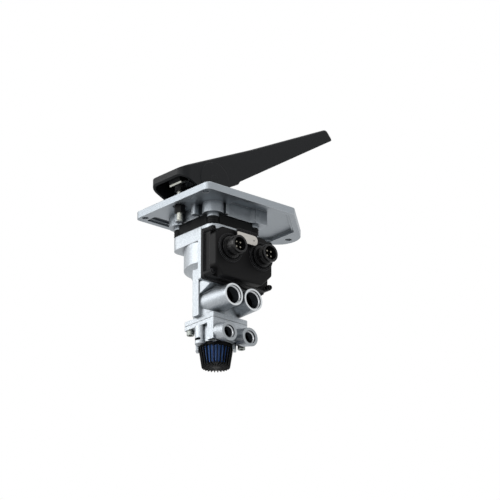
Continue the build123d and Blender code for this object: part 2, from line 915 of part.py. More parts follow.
# One slot between two ribs of the silencer's cage
with BuildPart() as cage_slot:
    with BuildSketch(Plane.XZ):
        with BuildLine():
            Polyline(
                (cage_top_r + cage_wall, cage_top - cage_collar),
                (cage_top_r - 2 * cage_wall, cage_top - cage_collar),
                (cage_low_r - 2 * cage_wall, cage_low + cage_floor),
                (cage_low_r - cage_wall / 2, cage_low + cage_floor),
                (cage_low_r - cage_wall / 2, cage_low - cage_floor),
                (cage_top_r + cage_wall, cage_low - cage_floor),
                close=True,
            )
        make_face()
    extrude(amount=slot_wide / 2, both=True)

# Silencer cage: a tapered basket of ribs that snaps over the spigot
with BuildPart() as silencer_cage:
    with BuildSketch(Plane.XZ):
        with BuildLine():
            Polyline(
                (spigot_r, cage_top),
                (cage_top_r, cage_top),
                (cage_top_r, cage_top - cage_collar),
                (cage_low_r, cage_low),
                (0, cage_low),
                (0, cage_low + cage_floor),
                (cage_low_r - cage_wall, cage_low + cage_floor),
                (cage_top_r - cage_wall, cage_top - cage_collar),
                (spigot_r, cage_top - cage_collar),
                close=True,
            )
        make_face()
    revolve(axis=Axis.Z)
    with PolarLocations(0, slot_count):
        add(cage_slot.part, mode=Mode.SUBTRACT)
silencer_cage.part.label = "silencer_cage"
export_step(silencer_cage.part, "parts/silencer_cage.step")

# Filter sleeve that stands inside the cage
with BuildPart() as silencer_filter:
    filter_low_r = cage_low_r - cage_wall - seat_gap
    filter_top_r = spigot_r + run_gap + filter_wall
    filter_high = cage_top - cage_collar
    with BuildSketch(Plane.XZ):
        with BuildLine():
            Polyline(
                (filter_low_r, cage_low + cage_floor),
                (filter_top_r, filter_high),
                (filter_top_r - filter_wall, filter_high),
                (filter_top_r - filter_wall, spigot_low - seat_gap),
                (filter_low_r - filter_wall, cage_low + cage_floor),
                close=True,
            )
        make_face()
    revolve(axis=Axis.Z)
silencer_filter.part.label = "silencer_filter"
export_step(silencer_filter.part, "parts/silencer_filter.step")

# Plunger: the mushroom head that the pedal's roller presses, on a guided stem
with BuildPart() as plunger:
    with BuildSketch(Plane.XZ):
        with BuildLine():
            Polyline(
                (0, spring_plate_top),
                (stem_r, spring_plate_top),
                (stem_r, plunger_top - plunger_head_tall),
                (plunger_head_r, plunger_top - plunger_head_tall),
                (plunger_head_r, plunger_top - plunger_edge),
                (plunger_head_r - plunger_edge, plunger_top),
                (0, plunger_top),
                close=True,
            )
        make_face()
    revolve(axis=Axis.Z)
plunger.part.label = "plunger"
export_step(plunger.part, "parts/plunger.step")

# Spring plate under the plunger, with the finger that drives the travel sensor
with BuildPart() as spring_plate:
    with BuildSketch(Plane.XY.offset(spring_plate_top)):
        Circle(spring_plate_r)
        with Locations((0, -(finger_inner + finger_thick) / 2)):
            Rectangle(2 * finger_half, finger_inner + finger_thick)
    extrude(amount=-spring_plate_tall)
    with BuildSketch(Plane.YZ.offset(-finger_half)):
        with BuildLine():
            Polyline(
                (-finger_inner, spring_plate_top),
                (-finger_inner, finger_low),
                (-finger_end, finger_low),
                (-finger_end, finger_low + finger_foot),
                (-finger_inner - finger_thick, finger_low + finger_foot),
                (-finger_inner - finger_thick, spring_plate_top),
                close=True,
            )
        make_face()
    extrude(amount=2 * finger_half)
spring_plate.part.label = "spring_plate"
export_step(spring_plate.part, "parts/spring_plate.step")

# Target block of the travel sensor, pushed on the end of the finger
with BuildPart() as sensor_target:
    with BuildSketch(Plane.XZ.offset(target_back)):
        with Locations((0, finger_low + finger_foot / 2)):
            Rectangle(2 * target_half, target_tall)
    extrude(amount=target_thick)
    with BuildSketch(Plane.XZ.offset(target_back)):
        with Locations((0, finger_low + finger_foot / 2)):
            Rectangle(2 * finger_half, finger_foot)
    extrude(amount=finger_end - target_back, mode=Mode.SUBTRACT)
sensor_target.part.label = "sensor_target"
export_step(sensor_target.part, "parts/sensor_target.step")

# Graduating spring: a barrel of rubber between the spring plate and the piston
with BuildPart() as graduating_spring:
    spring_high = spring_plate_top - spring_plate_tall
    spring_mid = (spring_high + piston_top) / 2
    with BuildSketch(Plane.XZ):
        with BuildLine():
            Line((graduating_bore_r, piston_top), (graduating_end_r, piston_top))
            ThreePointArc(
                (graduating_end_r, piston_top),
                (graduating_r, (piston_top + spring_mid) / 2),
                (graduating_end_r, spring_mid),
            )
            ThreePointArc(
                (graduating_end_r, spring_mid),
                (graduating_r, (spring_high + spring_mid) / 2),
                (graduating_end_r, spring_high),
            )
            Line((graduating_end_r, spring_high), (graduating_bore_r, spring_high))
            Line((graduating_bore_r, spring_high), (graduating_bore_r, piston_top))
        make_face()
    revolve(axis=Axis.Z)
graduating_spring.part.label = "graduating_spring"
export_step(graduating_spring.part, "parts/graduating_spring.step")

# Bellows gaiter between the plunger's head and its guide
with BuildPart() as gaiter:
    gaiter_low = gaiter_floor + guide_flange_tall
    gaiter_high = plunger_top - plunger_head_tall
    fold = (gaiter_high - gaiter_low) / (2 * gaiter_folds)
    outer = [
        (plunger_head_r + gaiter_wave * (i % 2), gaiter_low + i * fold)
        for i in range(2 * gaiter_folds + 1)
    ]
    inner = [(r - gaiter_wall, z) for r, z in reversed(outer)]
    with BuildSketch(Plane.XZ):
        with BuildLine():
            Polyline(*outer, *inner, close=True)
        make_face()
    revolve(axis=Axis.Z)
gaiter.part.label = "gaiter"
export_step(gaiter.part, "parts/gaiter.step")

# The two pistons: a disc with a seal groove, and a tube whose end is the exhaust seat
upper_tube = (upper_web_low, piston_tube_r, piston_tube_bore_r)
relay_tube = (lower_web_low, relay_tube_r, relay_tube_bore_r)
pistons = (
    ("upper_piston", piston_top, piston_tall, spring_bore_r, upper_tube),
    ("relay_piston", relay_top, relay_tall, valve_bore_r, relay_tube),
)
for name, top, tall, bore_r, (web_low, tube_r, tube_bore_r) in pistons:
    disc_r = bore_r - air_gap
    groove_high = top - (tall - seal_tall) / 2
    tube_low = web_low - air_gap + exhaust_gap
    with BuildPart() as piston:
        with BuildSketch(Plane.XZ):
            with BuildLine():
                Polyline(
                    (tube_bore_r, top - tall),
                    (tube_bore_r, tube_low),
                    (tube_r, tube_low),
                    (tube_r, top - tall),
                    (disc_r, top - tall),
                    (disc_r, groove_high - seal_tall),
                    (disc_r - seal_deep, groove_high - seal_tall),
                    (disc_r - seal_deep, groove_high),
                    (disc_r, groove_high),
                    (disc_r, top),
                    (0, top),
                    (0, top - tall),
                    close=True,
                )
            make_face()
        revolve(axis=Axis.Z)
    piston.part.label = name
    export_step(piston.part, f"parts/{name}.step")
    with BuildPart() as seal:
        with BuildSketch(Plane.XY.offset(groove_high)):
            Circle(bore_r - run_gap)
            Circle(disc_r - seal_deep, mode=Mode.SUBTRACT)
        extrude(amount=-seal_tall)
    seal.part.label = name + "_seal"
    export_step(seal.part, f"parts/{name}_seal.step")

# The two valves: a faced disc that closes the inlet seat, on a hollow guided stem
valves = (
    ("upper_valve", upper_valve_r, upper_tube, upper_valve_low),
    ("lower_valve", lower_valve_r, relay_tube, lower_valve_low),
)
for name, disc_r, (web_low, tube_r, tube_bore_r), stem_low in valves:
    top = web_low - air_gap
    with BuildPart() as valve:
        with BuildSketch(Plane.XZ):
            with BuildLine():
                Polyline(
                    (tube_bore_r, top),
                    (disc_r, top),
                    (disc_r, top - valve_disc_tall),
                    (tube_r, top - valve_disc_tall),
                    (tube_r, stem_low),
                    (tube_bore_r, stem_low),
                    close=True,
                )
            make_face()
        revolve(axis=Axis.Z)
    valve.part.label = name
    export_step(valve.part, f"parts/{name}.step")

# Carrier that guides the upper valve's stem, with windows for the air
with BuildPart() as valve_carrier:
    with BuildSketch(Plane.XY.offset(carrier_top)):
        Circle(valve_bore_r)
        Circle(piston_tube_r + run_gap, mode=Mode.SUBTRACT)
        with PolarLocations(carrier_window_circle, carrier_windows):
            Circle(carrier_window_r, mode=Mode.SUBTRACT)
    extrude(amount=-carrier_tall)
valve_carrier.part.label = "valve_carrier"
export_step(valve_carrier.part, "parts/valve_carrier.step")

# Exhaust guide that carries the lower valve's stem and its spring
with BuildPart() as exhaust_guide:
    with BuildSketch(Plane.XY.offset(exhaust_guide_top)):
        Circle(exhaust_bore_r)
        Circle(relay_tube_r + run_gap, mode=Mode.SUBTRACT)
    extrude(amount=-exhaust_guide_tall)
exhaust_guide.part.label = "exhaust_guide"
export_step(exhaust_guide.part, "parts/exhaust_guide.step")

# Coil springs: each is a helix of round wire between two seats
upper_disc_low = upper_web_low - air_gap - valve_disc_tall
lower_disc_low = lower_web_low - air_gap - valve_disc_tall
springs = (
    ("piston_spring", upper_web_top, piston_top - piston_tall, spring_mean_r, spring_wire_r),
    ("relay_spring", lower_web_top, relay_top - relay_tall, relay_spring_mean_r, spring_wire_r),
    ("upper_valve_spring", carrier_top, upper_disc_low, valve_spring_mean_r, valve_wire_r),
    ("lower_valve_spring", exhaust_guide_top, lower_disc_low, lower_spring_mean_r, valve_wire_r),
)
for name, low, high, mean_r, wire_r in springs:
    rise = high - low - 2 * wire_r
    with BuildPart() as spring:
        with BuildLine():
            Helix(rise / spring_turns, rise, mean_r, center=(0, 0, low + wire_r))
        with BuildSketch(Plane(origin=(mean_r, 0, low + wire_r), z_dir=(0, 1, 0))):
            Circle(wire_r)
        sweep(is_frenet=True)
    spring.part.label = name
    export_step(spring.part, f"parts/{name}.step")

# Sensor base: a shallow tray on the pad, with four long screw bosses
with BuildPart() as sensor_base:
    box_mid = (box_top + box_low) / 2
    box_tall = box_top - box_low
    with BuildSketch(Plane.XZ.offset(pad_face)):
        with Locations((0, box_mid)):
            RectangleRounded(2 * box_half, box_tall, box_corner_r)
    extrude(amount=base_rim)
    with BuildSketch(Plane.XZ.offset(pad_face + base_rim)):
        with Locations((0, box_mid)):
            RectangleRounded(2 * (box_half - base_inset), box_tall - base_inset, box_corner_r)
    extrude(amount=base_deep - base_rim)
    with BuildSketch(Plane.XZ.offset(pad_face)):
        with Locations(*screw_places):
            Circle(screw_boss_r)
    extrude(amount=screw_boss_long)
    with BuildSketch(Plane.XZ.offset(cover_back)):
        with Locations((0, box_mid)):
            RectangleRounded(
                2 * (box_half - base_inset - shell_wall - 2 * screw_boss_r),
                box_tall - base_inset - 2 * shell_wall,
                box_corner_r,
            )
    extrude(amount=-(base_deep - shell_wall), mode=Mode.SUBTRACT)
    with BuildSketch(Plane.XZ.offset(pad_face)):
        with Locations((0, (finger_slot_top + finger_slot_low) / 2)):
            Rectangle(2 * (target_half + seat_gap), finger_slot_top - finger_slot_low + target_tall)
    extrude(amount=shell_wall, mode=Mode.SUBTRACT)
    with BuildSketch(Plane.XZ.offset(pad_face)):
        with Locations(*screw_places):
            Circle(screw_r)
    extrude(amount=screw_boss_long, mode=Mode.SUBTRACT)
sensor_base.part.label = "sensor_base"
export_step(sensor_base.part, "parts/sensor_base.step")

# Screws of the sensor base, seated on the ends of the bosses
with BuildPart() as sensor_screws:
    with BuildSketch(Plane.XZ.offset(pad_face + screw_boss_long)):
        with Locations(*screw_places):
            Circle(screw_head_r)
    extrude(amount=screw_head_tall)
    with BuildSketch(Plane.XZ.offset(pad_face + screw_boss_long)):
        with Locations(*screw_places):
            Circle(screw_r)
    extrude(amount=-(screw_boss_long + screw_bite))
    with BuildSketch(Plane.XZ.offset(pad_face + screw_boss_long + screw_head_tall)):
        with Locations(*screw_places):
            RegularPolygon(screw_r, 6)
    extrude(amount=-screw_head_tall / 2, mode=Mode.SUBTRACT)
sensor_screws.part.label = "sensor_screws"
export_step(sensor_screws.part, "parts/sensor_screws.step")

# Sensor cover: a hollow lid with cut corners and a raised ring round each connector
with BuildPart() as sensor_cover:
    lid_points = (
        (cover_heel, cover_low + cover_heel_corner),
        (cover_heel + cover_heel_corner, cover_low),
        (cover_toe - cover_corner, cover_low),
        (cover_toe, cover_low + cover_corner),
        (cover_toe, cover_top - cover_small_corner),
        (cover_toe - cover_small_corner, cover_top),
        (cover_heel + cover_small_corner, cover_top),
        (cover_heel, cover_top - cover_small_corner),
    )
    with BuildSketch(Plane.XZ.offset(cover_back)) as lid:
        with BuildLine():
            Polyline(*lid_points, close=True)
        make_face()
        fillet(lid.vertices(), cover_corner_r)
    extrude(amount=cover_face - cover_back)
    fillet(sensor_cover.faces().sort_by(Axis.Y)[0].edges(), cover_edge_r)
    with BuildSketch(Plane.XZ.offset(cover_back)):
        add(lid.sketch)
        offset(amount=-shell_wall)
    extrude(amount=cover_face - cover_back - shell_wall, mode=Mode.SUBTRACT)
    with BuildSketch(Plane.XZ.offset(cover_face)):
        with Locations((-connector_x, connector_z), (connector_x, connector_z)):
            Circle(rim_outer_r)
            Circle(rim_inner_r, mode=Mode.SUBTRACT)
    extrude(amount=rim_proud)
    with BuildSketch(Plane.XZ.offset(cover_face)):
        with Locations((-connector_x, connector_z), (connector_x, connector_z)):
            Circle(connector_collar_r)
    extrude(amount=-shell_wall, mode=Mode.SUBTRACT)
sensor_cover.part.label = "sensor_cover"
export_step(sensor_cover.part, "parts/sensor_cover.step")

# The two bayonet connectors and their contacts
for name, side in (("left", -1), ("right", 1)):
    mid_x = side * connector_x
    inner_face = cover_face - shell_wall
    with BuildSketch() as contact_circles:
        with PolarLocations(contact_circle_r, contact_count, start_angle=180 / contact_count):
            Circle(contact_r)
    with BuildPart() as connector:
        with BuildSketch(Plane.XY.offset(connector_z)):
            with BuildLine():
                Polyline(
                    (mid_x, -inner_face + connector_flange_tall),
                    (mid_x + connector_flange_r, -inner_face + connector_flange_tall),
                    (mid_x + connector_flange_r, -inner_face),
                    (mid_x + connector_collar_r, -inner_face),
                    (mid_x + connector_collar_r, -cover_face - connector_collar_long),
                    (mid_x + connector_r, -cover_face - connector_collar_long),
                    (mid_x + connector_r, -connector_mouth),
                    (mid_x + connector_bore_r, -connector_mouth),
                    (mid_x + connector_bore_r, -connector_floor),
                    (mid_x, -connector_floor),
                    close=True,
                )
            make_face()
        revolve(axis=Axis((mid_x, 0, connector_z), (0, 1, 0)))
        with BuildSketch(Plane.XZ.offset(bayonet_start)):
            with Locations((mid_x, connector_z)):
                with PolarLocations(connector_r, bayonet_count, start_angle=90):
                    Rectangle(2 * bayonet_deep, bayonet_wide)
                Circle(connector_bore_r + bayonet_deep, mode=Mode.SUBTRACT)
        extrude(amount=bayonet_long)
        with BuildSketch(Plane.XZ.offset(connector_floor)):
            with Locations((mid_x, connector_z)):
                add(contact_circles.sketch)
        extrude(amount=-contact_root, mode=Mode.SUBTRACT)
    connector.part.label = name + "_connector"
    export_step(connector.part, f"parts/{name}_connector.step")
    with BuildPart() as pins:
        with BuildSketch(Plane.XZ.offset(connector_floor - contact_root)):
            with Locations((mid_x, connector_z)):
                add(contact_circles.sketch)
        extrude(amount=contact_root + contact_long)
    pins.part.label = name + "_contacts"
    export_step(pins.part, f"parts/{name}_contacts.step")

# Carrier of the label, a slotted bridge between the two connectors
with BuildPart() as label_carrier:
    label_back = label_face - label_thick
    label_mid_x = label_heel + label_long / 2
    label_top = label_mid_z + label_tall / 2
    carrier_low = label_mid_z - label_tall / 2
    with BuildSketch(Plane.XZ.offset(cover_face)):
        with Locations((bridge_mid_x, (bridge_low + carrier_top_z) / 2)):
            Rectangle(bridge_long, carrier_top_z - bridge_low)
    extrude(amount=label_back - cover_face)
    with BuildSketch(Plane.XZ.offset(label_back - carrier_thick)) as carrier_face:
        with Locations((label_mid_x, (carrier_low + carrier_top_z) / 2)):
            Rectangle(label_long, carrier_top_z - carrier_low)
        fillet(carrier_face.vertices().group_by(Axis.Y)[-1], carrier_corner_r)
        fillet(carrier_face.vertices().group_by(Axis.Y)[0].sort_by(Axis.X)[-1], label_end_r)
    extrude(amount=carrier_thick)
    with BuildSketch(Plane.XZ.offset(label_back)):
        with Locations((label_mid_x, (label_top + carrier_top_z) / 2)):
            with GridLocations(carrier_slot_pitch, 1, carrier_slot_count, 1):
                Rectangle(carrier_slot_long, carrier_slot_tall)
    extrude(amount=-carrier_thick / 2, mode=Mode.SUBTRACT)
label_carrier.part.label = "label_carrier"
export_step(label_carrier.part, "parts/label_carrier.step")

# Blank label plate with one rounded end and a small hole
with BuildPart() as label_plate:
    with BuildSketch(Plane.XZ.offset(label_back)) as label_shape:
        with Locations((label_mid_x, label_mid_z)):
            Rectangle(label_long, label_tall)
        fillet(label_shape.vertices().group_by(Axis.X)[-1], label_end_r)
        fillet(label_shape.vertices().group_by(Axis.X)[0], label_corner_r)
        with Locations((label_heel + label_long - label_end_r, label_mid_z)):
            Circle(label_hole_r, mode=Mode.SUBTRACT)
    extrude(amount=label_thick)
label_plate.part.label = "label_plate"
export_step(label_plate.part, "parts/label_plate.step")

# Outline of the pedal seen from above, drawn in by a wall where it is hollow
def pedal_plan(inset):
    with BuildSketch() as plan:
        with BuildLine():
            Polyline(
                (pedal_heel + inset, pedal_half - inset),
                (pedal_heel + inset, inset - pedal_half),
                (pedal_toe_tip_x - inset, inset - pedal_half),
                (pedal_toe_tip_x - inset, pedal_half - inset),
                close=True,
            )
        make_face()
        fillet(plan.vertices().group_by(Axis.X)[0], pedal_heel_plan_r - inset)
        fillet(plan.vertices().group_by(Axis.X)[-1], pedal_toe_plan_r - inset)
    return plan.sketch


# Space under the pedal's roof, open downwards
with BuildPart() as pedal_hollow:
    with BuildSketch(Plane.XZ):
        with BuildLine():
            Polyline(
                (pedal_heel + pedal_wall, pedal_top_at(pedal_heel + pedal_wall) - roof_drop),
                (pedal_bend_x, pedal_bend_z - roof_drop),
                (pedal_toe_top_x - pedal_toe_wall, pedal_top_at(pedal_toe_top_x) - roof_drop),
                (pedal_toe_tip_x - pedal_toe_wall, pedal_toe_tip_z - roof_drop),
                (pedal_toe_tip_x - pedal_toe_wall, -plate_half),
                (pedal_heel + pedal_wall, -plate_half),
                close=True,
            )
        make_face()
    extrude(amount=pedal_half, both=True)
    with BuildSketch(Plane.XY.offset(-plate_half)):
        add(pedal_plan(pedal_wall))
    extrude(amount=through_all, mode=Mode.INTERSECT)

# Stiffening ribs under the roof, kept above the pedal's lower edge
with BuildPart() as pedal_ribs:
    with BuildSketch(Plane.XZ):
        with BuildLine():
            Polyline(
                (rib_start_x, pedal_top_at(rib_start_x) - roof_drop / 2),
                (rib_end_x, pedal_top_at(rib_end_x) - roof_drop / 2),
                (rib_end_x, pedal_low_at(rib_end_x) + rib_inset),
                (rib_start_x, pedal_top_at(rib_start_x) - rib_deep),
                close=True,
            )
        make_face()
    extrude(amount=pedal_half - pedal_wall / 2, both=True)
    with BuildSketch(Plane.XY.offset(-plate_half)):
        with GridLocations(1, rib_row_pitch, 1, rib_rows):
            with Locations(((rib_start_x + rib_end_x) / 2, 0)):
                Rectangle(rib_end_x - rib_start_x, rib_thick)
        with Locations(((rib_start_x + rib_end_x) / 2, 0)):
            rib_pitch = (rib_end_x - rib_start_x - rib_thick) / rib_bays
            with GridLocations(rib_pitch, 1, rib_bays + 1, 1):
                Rectangle(rib_thick, 2 * pedal_half)
    extrude(amount=through_all, mode=Mode.INTERSECT)

# Pedal: a ribbed plastic tray, upside down, with hubs for the pivot and brackets for
# the roller. Its roof slopes up to the toe, and its sides are deepest round the pivot.
with BuildPart() as pedal:
    with BuildSketch(Plane.XZ) as pedal_side:
        with BuildLine():
            Polyline(
                (pedal_heel, pedal_top_at(pedal_heel)),
                (pedal_bend_x, pedal_bend_z),
                (pedal_toe_top_x, pedal_top_at(pedal_toe_top_x)),
                (pedal_toe_tip_x, pedal_toe_tip_z),
                (pedal_step_x, pedal_step_z),
                (pedal_lip_x, pedal_lip_z),
                (pivot_x + boss_low_r * pedal_flank_x, pivot_z - boss_low_r * pedal_flank_z),
                (pivot_x, wall_low),
                (pivot_x - pedal_keel, wall_low),
                (pedal_heel_cut_x, pedal_heel_cut_z),
                (pedal_heel, pedal_heel_low_z),
                close=True,
            )
        make_face()
        fillet(pedal_side.vertices().sort_by(Axis.Y)[-1], pedal_toe_top_r)
        with Locations((pivot_x, pivot_z)):
            Circle(boss_low_r)
    extrude(amount=pedal_half, both=True)
    with BuildSketch(Plane.XY.offset(-plate_half)):
        add(pedal_plan(0))
    extrude(amount=through_all, mode=Mode.INTERSECT)
    heel_face = pedal.faces().filter_by(heel_roof).sort_by(Axis.Z)[-1]
    toe_face = pedal.faces().filter_by(toe_roof).sort_by(Axis.Z)[-1]
    rim = heel_face.edges().sort_by(Axis.X)[:-1] + toe_face.edges().sort_by(Axis.X)[1:-1]
    fillet(rim, pedal_edge_r)

    # Round bosses on the outside of the side walls
    for start in (pedal_half, -pedal_half - pedal_boss_proud):
        with BuildSketch(Plane.XZ.offset(start)):
            with Locations((pivot_x, pivot_z)):
                Circle(boss_low_r)
        extrude(amount=pedal_boss_proud)
    add(pedal_hollow.part, mode=Mode.SUBTRACT)
    add(pedal_ribs.part)

    # Hubs of the pivot, inside the side walls
    hub_start = ear_inner + ear_thick + air_gap
    for side in (-1, 1):
        with BuildSketch(Plane.XZ.offset(side * hub_start)):
            with Locations((pivot_x, pivot_z)):
                Circle(hub_r)
        extrude(amount=side * (pedal_half - hub_start))

    # Brackets of the roller, down from the roof
    bracket_start = roller_wide / 2 + air_gap
    for start in (bracket_start, -bracket_start - bracket_thick):
        with BuildSketch(Plane.XZ.offset(start)):
            with BuildLine():
                Polyline(
                    (-bracket_root, pedal_top_at(-bracket_root) - roof_drop / 2),
                    (bracket_root, pedal_top_at(bracket_root) - roof_drop / 2),
                    (bracket_half, pivot_z),
                    (-bracket_half, pivot_z),
                    close=True,
                )
            make_face()
            with Locations((0, pivot_z)):
                Circle(bracket_half)
        extrude(amount=bracket_thick)
    with BuildSketch(Plane.XZ.offset(-bracket_start - bracket_thick)):
        with Locations((0, pivot_z)):
            Circle(roller_pin_r)
    extrude(amount=2 * (bracket_start + bracket_thick), mode=Mode.SUBTRACT)

    # Foot under the heel that carries the striker of the pedal stop
    with BuildSketch(heel_roof.offset(-striker_drop)):
        with Locations((striker_along, 0)):
            Rectangle(striker_long - striker_margin, striker_wide - striker_margin)
    extrude(amount=striker_drop - pedal_roof / 2)

    # Pivot bore with a recess for each cap
    pin_end = pedal_half + pedal_boss_proud - cap_tall
    for start, radius, amount in (
        (-pin_end, pivot_pin_r + run_gap, 2 * pin_end),
        (pin_end, cap_r, cap_tall),
        (-pin_end, cap_r, -cap_tall),
    ):
        with BuildSketch(Plane.XZ.offset(start)):
            with Locations((pivot_x, pivot_z)):
                Circle(radius)
        extrude(amount=amount, mode=Mode.SUBTRACT)

    # Shallow grooves across the tread
    with BuildSketch(toe_roof):
        with Locations((tread_mid, 0)):
            with GridLocations(tread_pitch, 1, tread_count, 1):
                SlotOverall(2 * (pedal_half - tread_margin), tread_wide, rotation=90)
    extrude(amount=-tread_deep, mode=Mode.SUBTRACT)
pedal.part.label = "pedal"
export_step(pedal.part, "parts/pedal.step")

# Pin of the pedal pivot, in the plate's ears
with BuildPart() as pivot_pin:
    with BuildSketch(Plane.XZ.offset(-pin_end + pin_play)):
        with Locations((pivot_x, pivot_z)):
            Circle(pivot_pin_r)
    extrude(amount=2 * (pin_end - pin_play))
pivot_pin.part.label = "pivot_pin"
export_step(pivot_pin.part, "parts/pivot_pin.step")

# Caps that close the pivot's bores
with BuildPart() as pivot_caps:
    for start, amount in ((pin_end, cap_tall), (-pin_end, -cap_tall)):
        with BuildSketch(Plane.XZ.offset(start)):
            with Locations((pivot_x, pivot_z)):
                Circle(cap_r)
        extrude(amount=amount)
pivot_caps.part.label = "pivot_caps"
export_step(pivot_caps.part, "parts/pivot_caps.step")

# Roller that presses the plunger, and its pin
with BuildPart() as roller:
    with BuildSketch(Plane.XZ.offset(-roller_wide / 2)):
        with Locations((0, pivot_z)):
            Circle(roller_r)
            Circle(roller_pin_r + run_gap, mode=Mode.SUBTRACT)
    extrude(amount=roller_wide)
    chamfer(roller.edges().filter_by(GeomType.CIRCLE).group_by(SortBy.RADIUS)[-1], roller_edge)
roller.part.label = "roller"
export_step(roller.part, "parts/roller.step")

with BuildPart() as roller_pin:
    with BuildSketch(Plane.XZ.offset(-bracket_start - bracket_thick)):
        with Locations((0, pivot_z)):
            Circle(roller_pin_r)
    extrude(amount=2 * (bracket_start + bracket_thick))
roller_pin.part.label = "roller_pin"
export_step(roller_pin.part, "parts/roller_pin.step")

# Striker plate under the heel, parallel to the pedal's roof
with BuildPart() as stop_striker:
    with BuildSketch(heel_roof.offset(-striker_drop)):
        with Locations((striker_along, 0)):
            RectangleRounded(striker_long, striker_wide, striker_margin)
    extrude(amount=-striker_thick)
stop_striker.part.label = "stop_striker"
export_step(stop_striker.part, "parts/stop_striker.step")

# Pedal stop: a stud through the plate, with a lock nut below it, and a collar nut and
# a domed rubber buffer on top
with BuildPart() as stop_stud:
    with BuildSketch(Plane.XY.offset(stop_stud_low)):
        with Locations((stop_x, 0)):
            Circle(stop_stud_r)
    extrude(amount=stop_collar_low + stop_collar_tall - stop_stud_low)
    chamfer(stop_stud.edges().group_by(Axis.Z)[0], stud_point)
stop_stud.part.label = "stop_stud"
export_step(stop_stud.part, "parts/stop_stud.step")

for name, low, tall in (
    ("stop_lock_nut", stop_spot_deep - stop_lock_tall, stop_lock_tall),
    ("stop_collar_nut", stop_collar_low, stop_collar_tall),
):
    with BuildPart() as nut:
        with BuildSketch(Plane.XY.offset(low)):
            with Locations((stop_x, 0)):
                RegularPolygon(stop_nut_flats / 2, 6, major_radius=False)
                Circle(stop_stud_r, mode=Mode.SUBTRACT)
        extrude(amount=tall)
    nut.part.label = name
    export_step(nut.part, f"parts/{name}.step")

with BuildPart() as stop_buffer:
    buffer_low = stop_collar_low + stop_collar_tall
    dome_top = dome_centre_z + buffer_dome_r
    shoulder = dome_centre_z + math.sqrt(buffer_dome_r**2 - buffer_r**2)
    dome_side = math.sqrt(buffer_dome_r**2 - (buffer_r / 2) ** 2)
    with BuildSketch(Plane.XZ):
        with BuildLine():
            Polyline(
                (stop_x, dome_top),
                (stop_x, buffer_low),
                (stop_x + buffer_r, buffer_low),
                (stop_x + buffer_r, shoulder),
            )
            ThreePointArc(
                (stop_x + buffer_r, shoulder),
                (stop_x + buffer_r / 2, dome_centre_z + dome_side),
                (stop_x, dome_top),
            )
        make_face()
    revolve(axis=Axis((stop_x, 0, 0), (0, 0, 1)))
stop_buffer.part.label = "stop_buffer"
export_step(stop_buffer.part, "parts/stop_buffer.step")
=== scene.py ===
"""Looks of a heavy vehicle's foot brake module with its pedal travel sensor.

A black treadle pedal stands on a die-cast plate. Under the plate hang a two-circuit air
valve in bare die-cast aluminium, a black sensor box with two round plug sockets, and a
silencer with a blue filter. The module's sizes and places are in millimetres in its own
frame, with Z up along the valve's axis and the ports on the -Y side, and become metres
where a mesh or a node takes them. The lamps and the studio floor are in metres.
"""

import math

import bmesh
import bpy
from mathutils import Matrix, Vector


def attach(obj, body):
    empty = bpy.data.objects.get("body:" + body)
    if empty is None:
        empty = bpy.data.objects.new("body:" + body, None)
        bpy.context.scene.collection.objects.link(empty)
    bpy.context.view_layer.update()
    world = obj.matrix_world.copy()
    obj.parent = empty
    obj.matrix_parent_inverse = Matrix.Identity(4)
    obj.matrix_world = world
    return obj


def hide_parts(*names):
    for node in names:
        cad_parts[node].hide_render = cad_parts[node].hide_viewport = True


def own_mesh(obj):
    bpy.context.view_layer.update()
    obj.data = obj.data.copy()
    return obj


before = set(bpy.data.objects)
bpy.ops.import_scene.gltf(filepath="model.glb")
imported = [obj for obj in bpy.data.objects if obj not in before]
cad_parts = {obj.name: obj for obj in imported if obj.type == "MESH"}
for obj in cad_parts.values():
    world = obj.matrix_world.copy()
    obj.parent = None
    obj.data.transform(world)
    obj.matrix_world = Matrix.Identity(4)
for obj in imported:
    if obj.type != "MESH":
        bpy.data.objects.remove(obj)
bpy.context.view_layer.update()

MM = 0.001

# The two pairs of air ports: the way out of each port's axis from the middle, its height,
# the plane of its mouth, the radius of its bore and the turns of its thread
PORTS = {
    "upper": {"x": 16.5, "z": -126.7, "mouth": 56.0, "bore": 11.7, "turns": 9},
    "lower": {"x": 17.5, "z": -175.6, "mouth": 48.3, "bore": 7.95, "turns": 6},
}
# Each bore starts with a wider step for the fitting's seal
STEP_WIDER = 0.9
STEP_DEEP = 2.0


def linear(text):
    """An sRGB hex colour as linear RGBA."""
    parts = [int(text[i : i + 2], 16) / 255 for i in (1, 3, 5)]
    return [c / 12.92 if c <= 0.04045 else ((c + 0.055) / 1.055) ** 2.4 for c in parts] + [1.0]


def add_node(tree, kind, settings=None, links=None):
    """One node with its settings (properties or socket values) and its incoming links."""
    node = tree.nodes.new(kind)
    for name, value in (settings or {}).items():
        if isinstance(name, int) or name in node.inputs:
            node.inputs[name].default_value = value
        else:
            setattr(node, name, value)
    for name, source in (links or {}).items():
        tree.links.new(source, node.inputs[name])
    return node


def per_metre(size_mm):
    """A texture scale that gives features of about this size."""
    return 1.0 / (size_mm * MM)


def painted_edge_highlight(tree, soft_normal):
    """A mask of painted highlight along the edges: it rises to 1 where the softened normal leaves
    the true one.
    """
    cosine_on_flat, cosine_on_edge = 0.995, 0.80
    true_normal = add_node(tree, "ShaderNodeNewGeometry").outputs["Normal"]
    turn = add_node(
        tree,
        "ShaderNodeVectorMath",
        {"operation": "DOT_PRODUCT"},
        {0: soft_normal, 1: true_normal},
    )
    highlit = add_node(
        tree,
        "ShaderNodeMapRange",
        {"From Min": cosine_on_flat, "From Max": cosine_on_edge},
        {"Value": turn.outputs["Value"]},
    )
    return highlit.outputs["Result"]


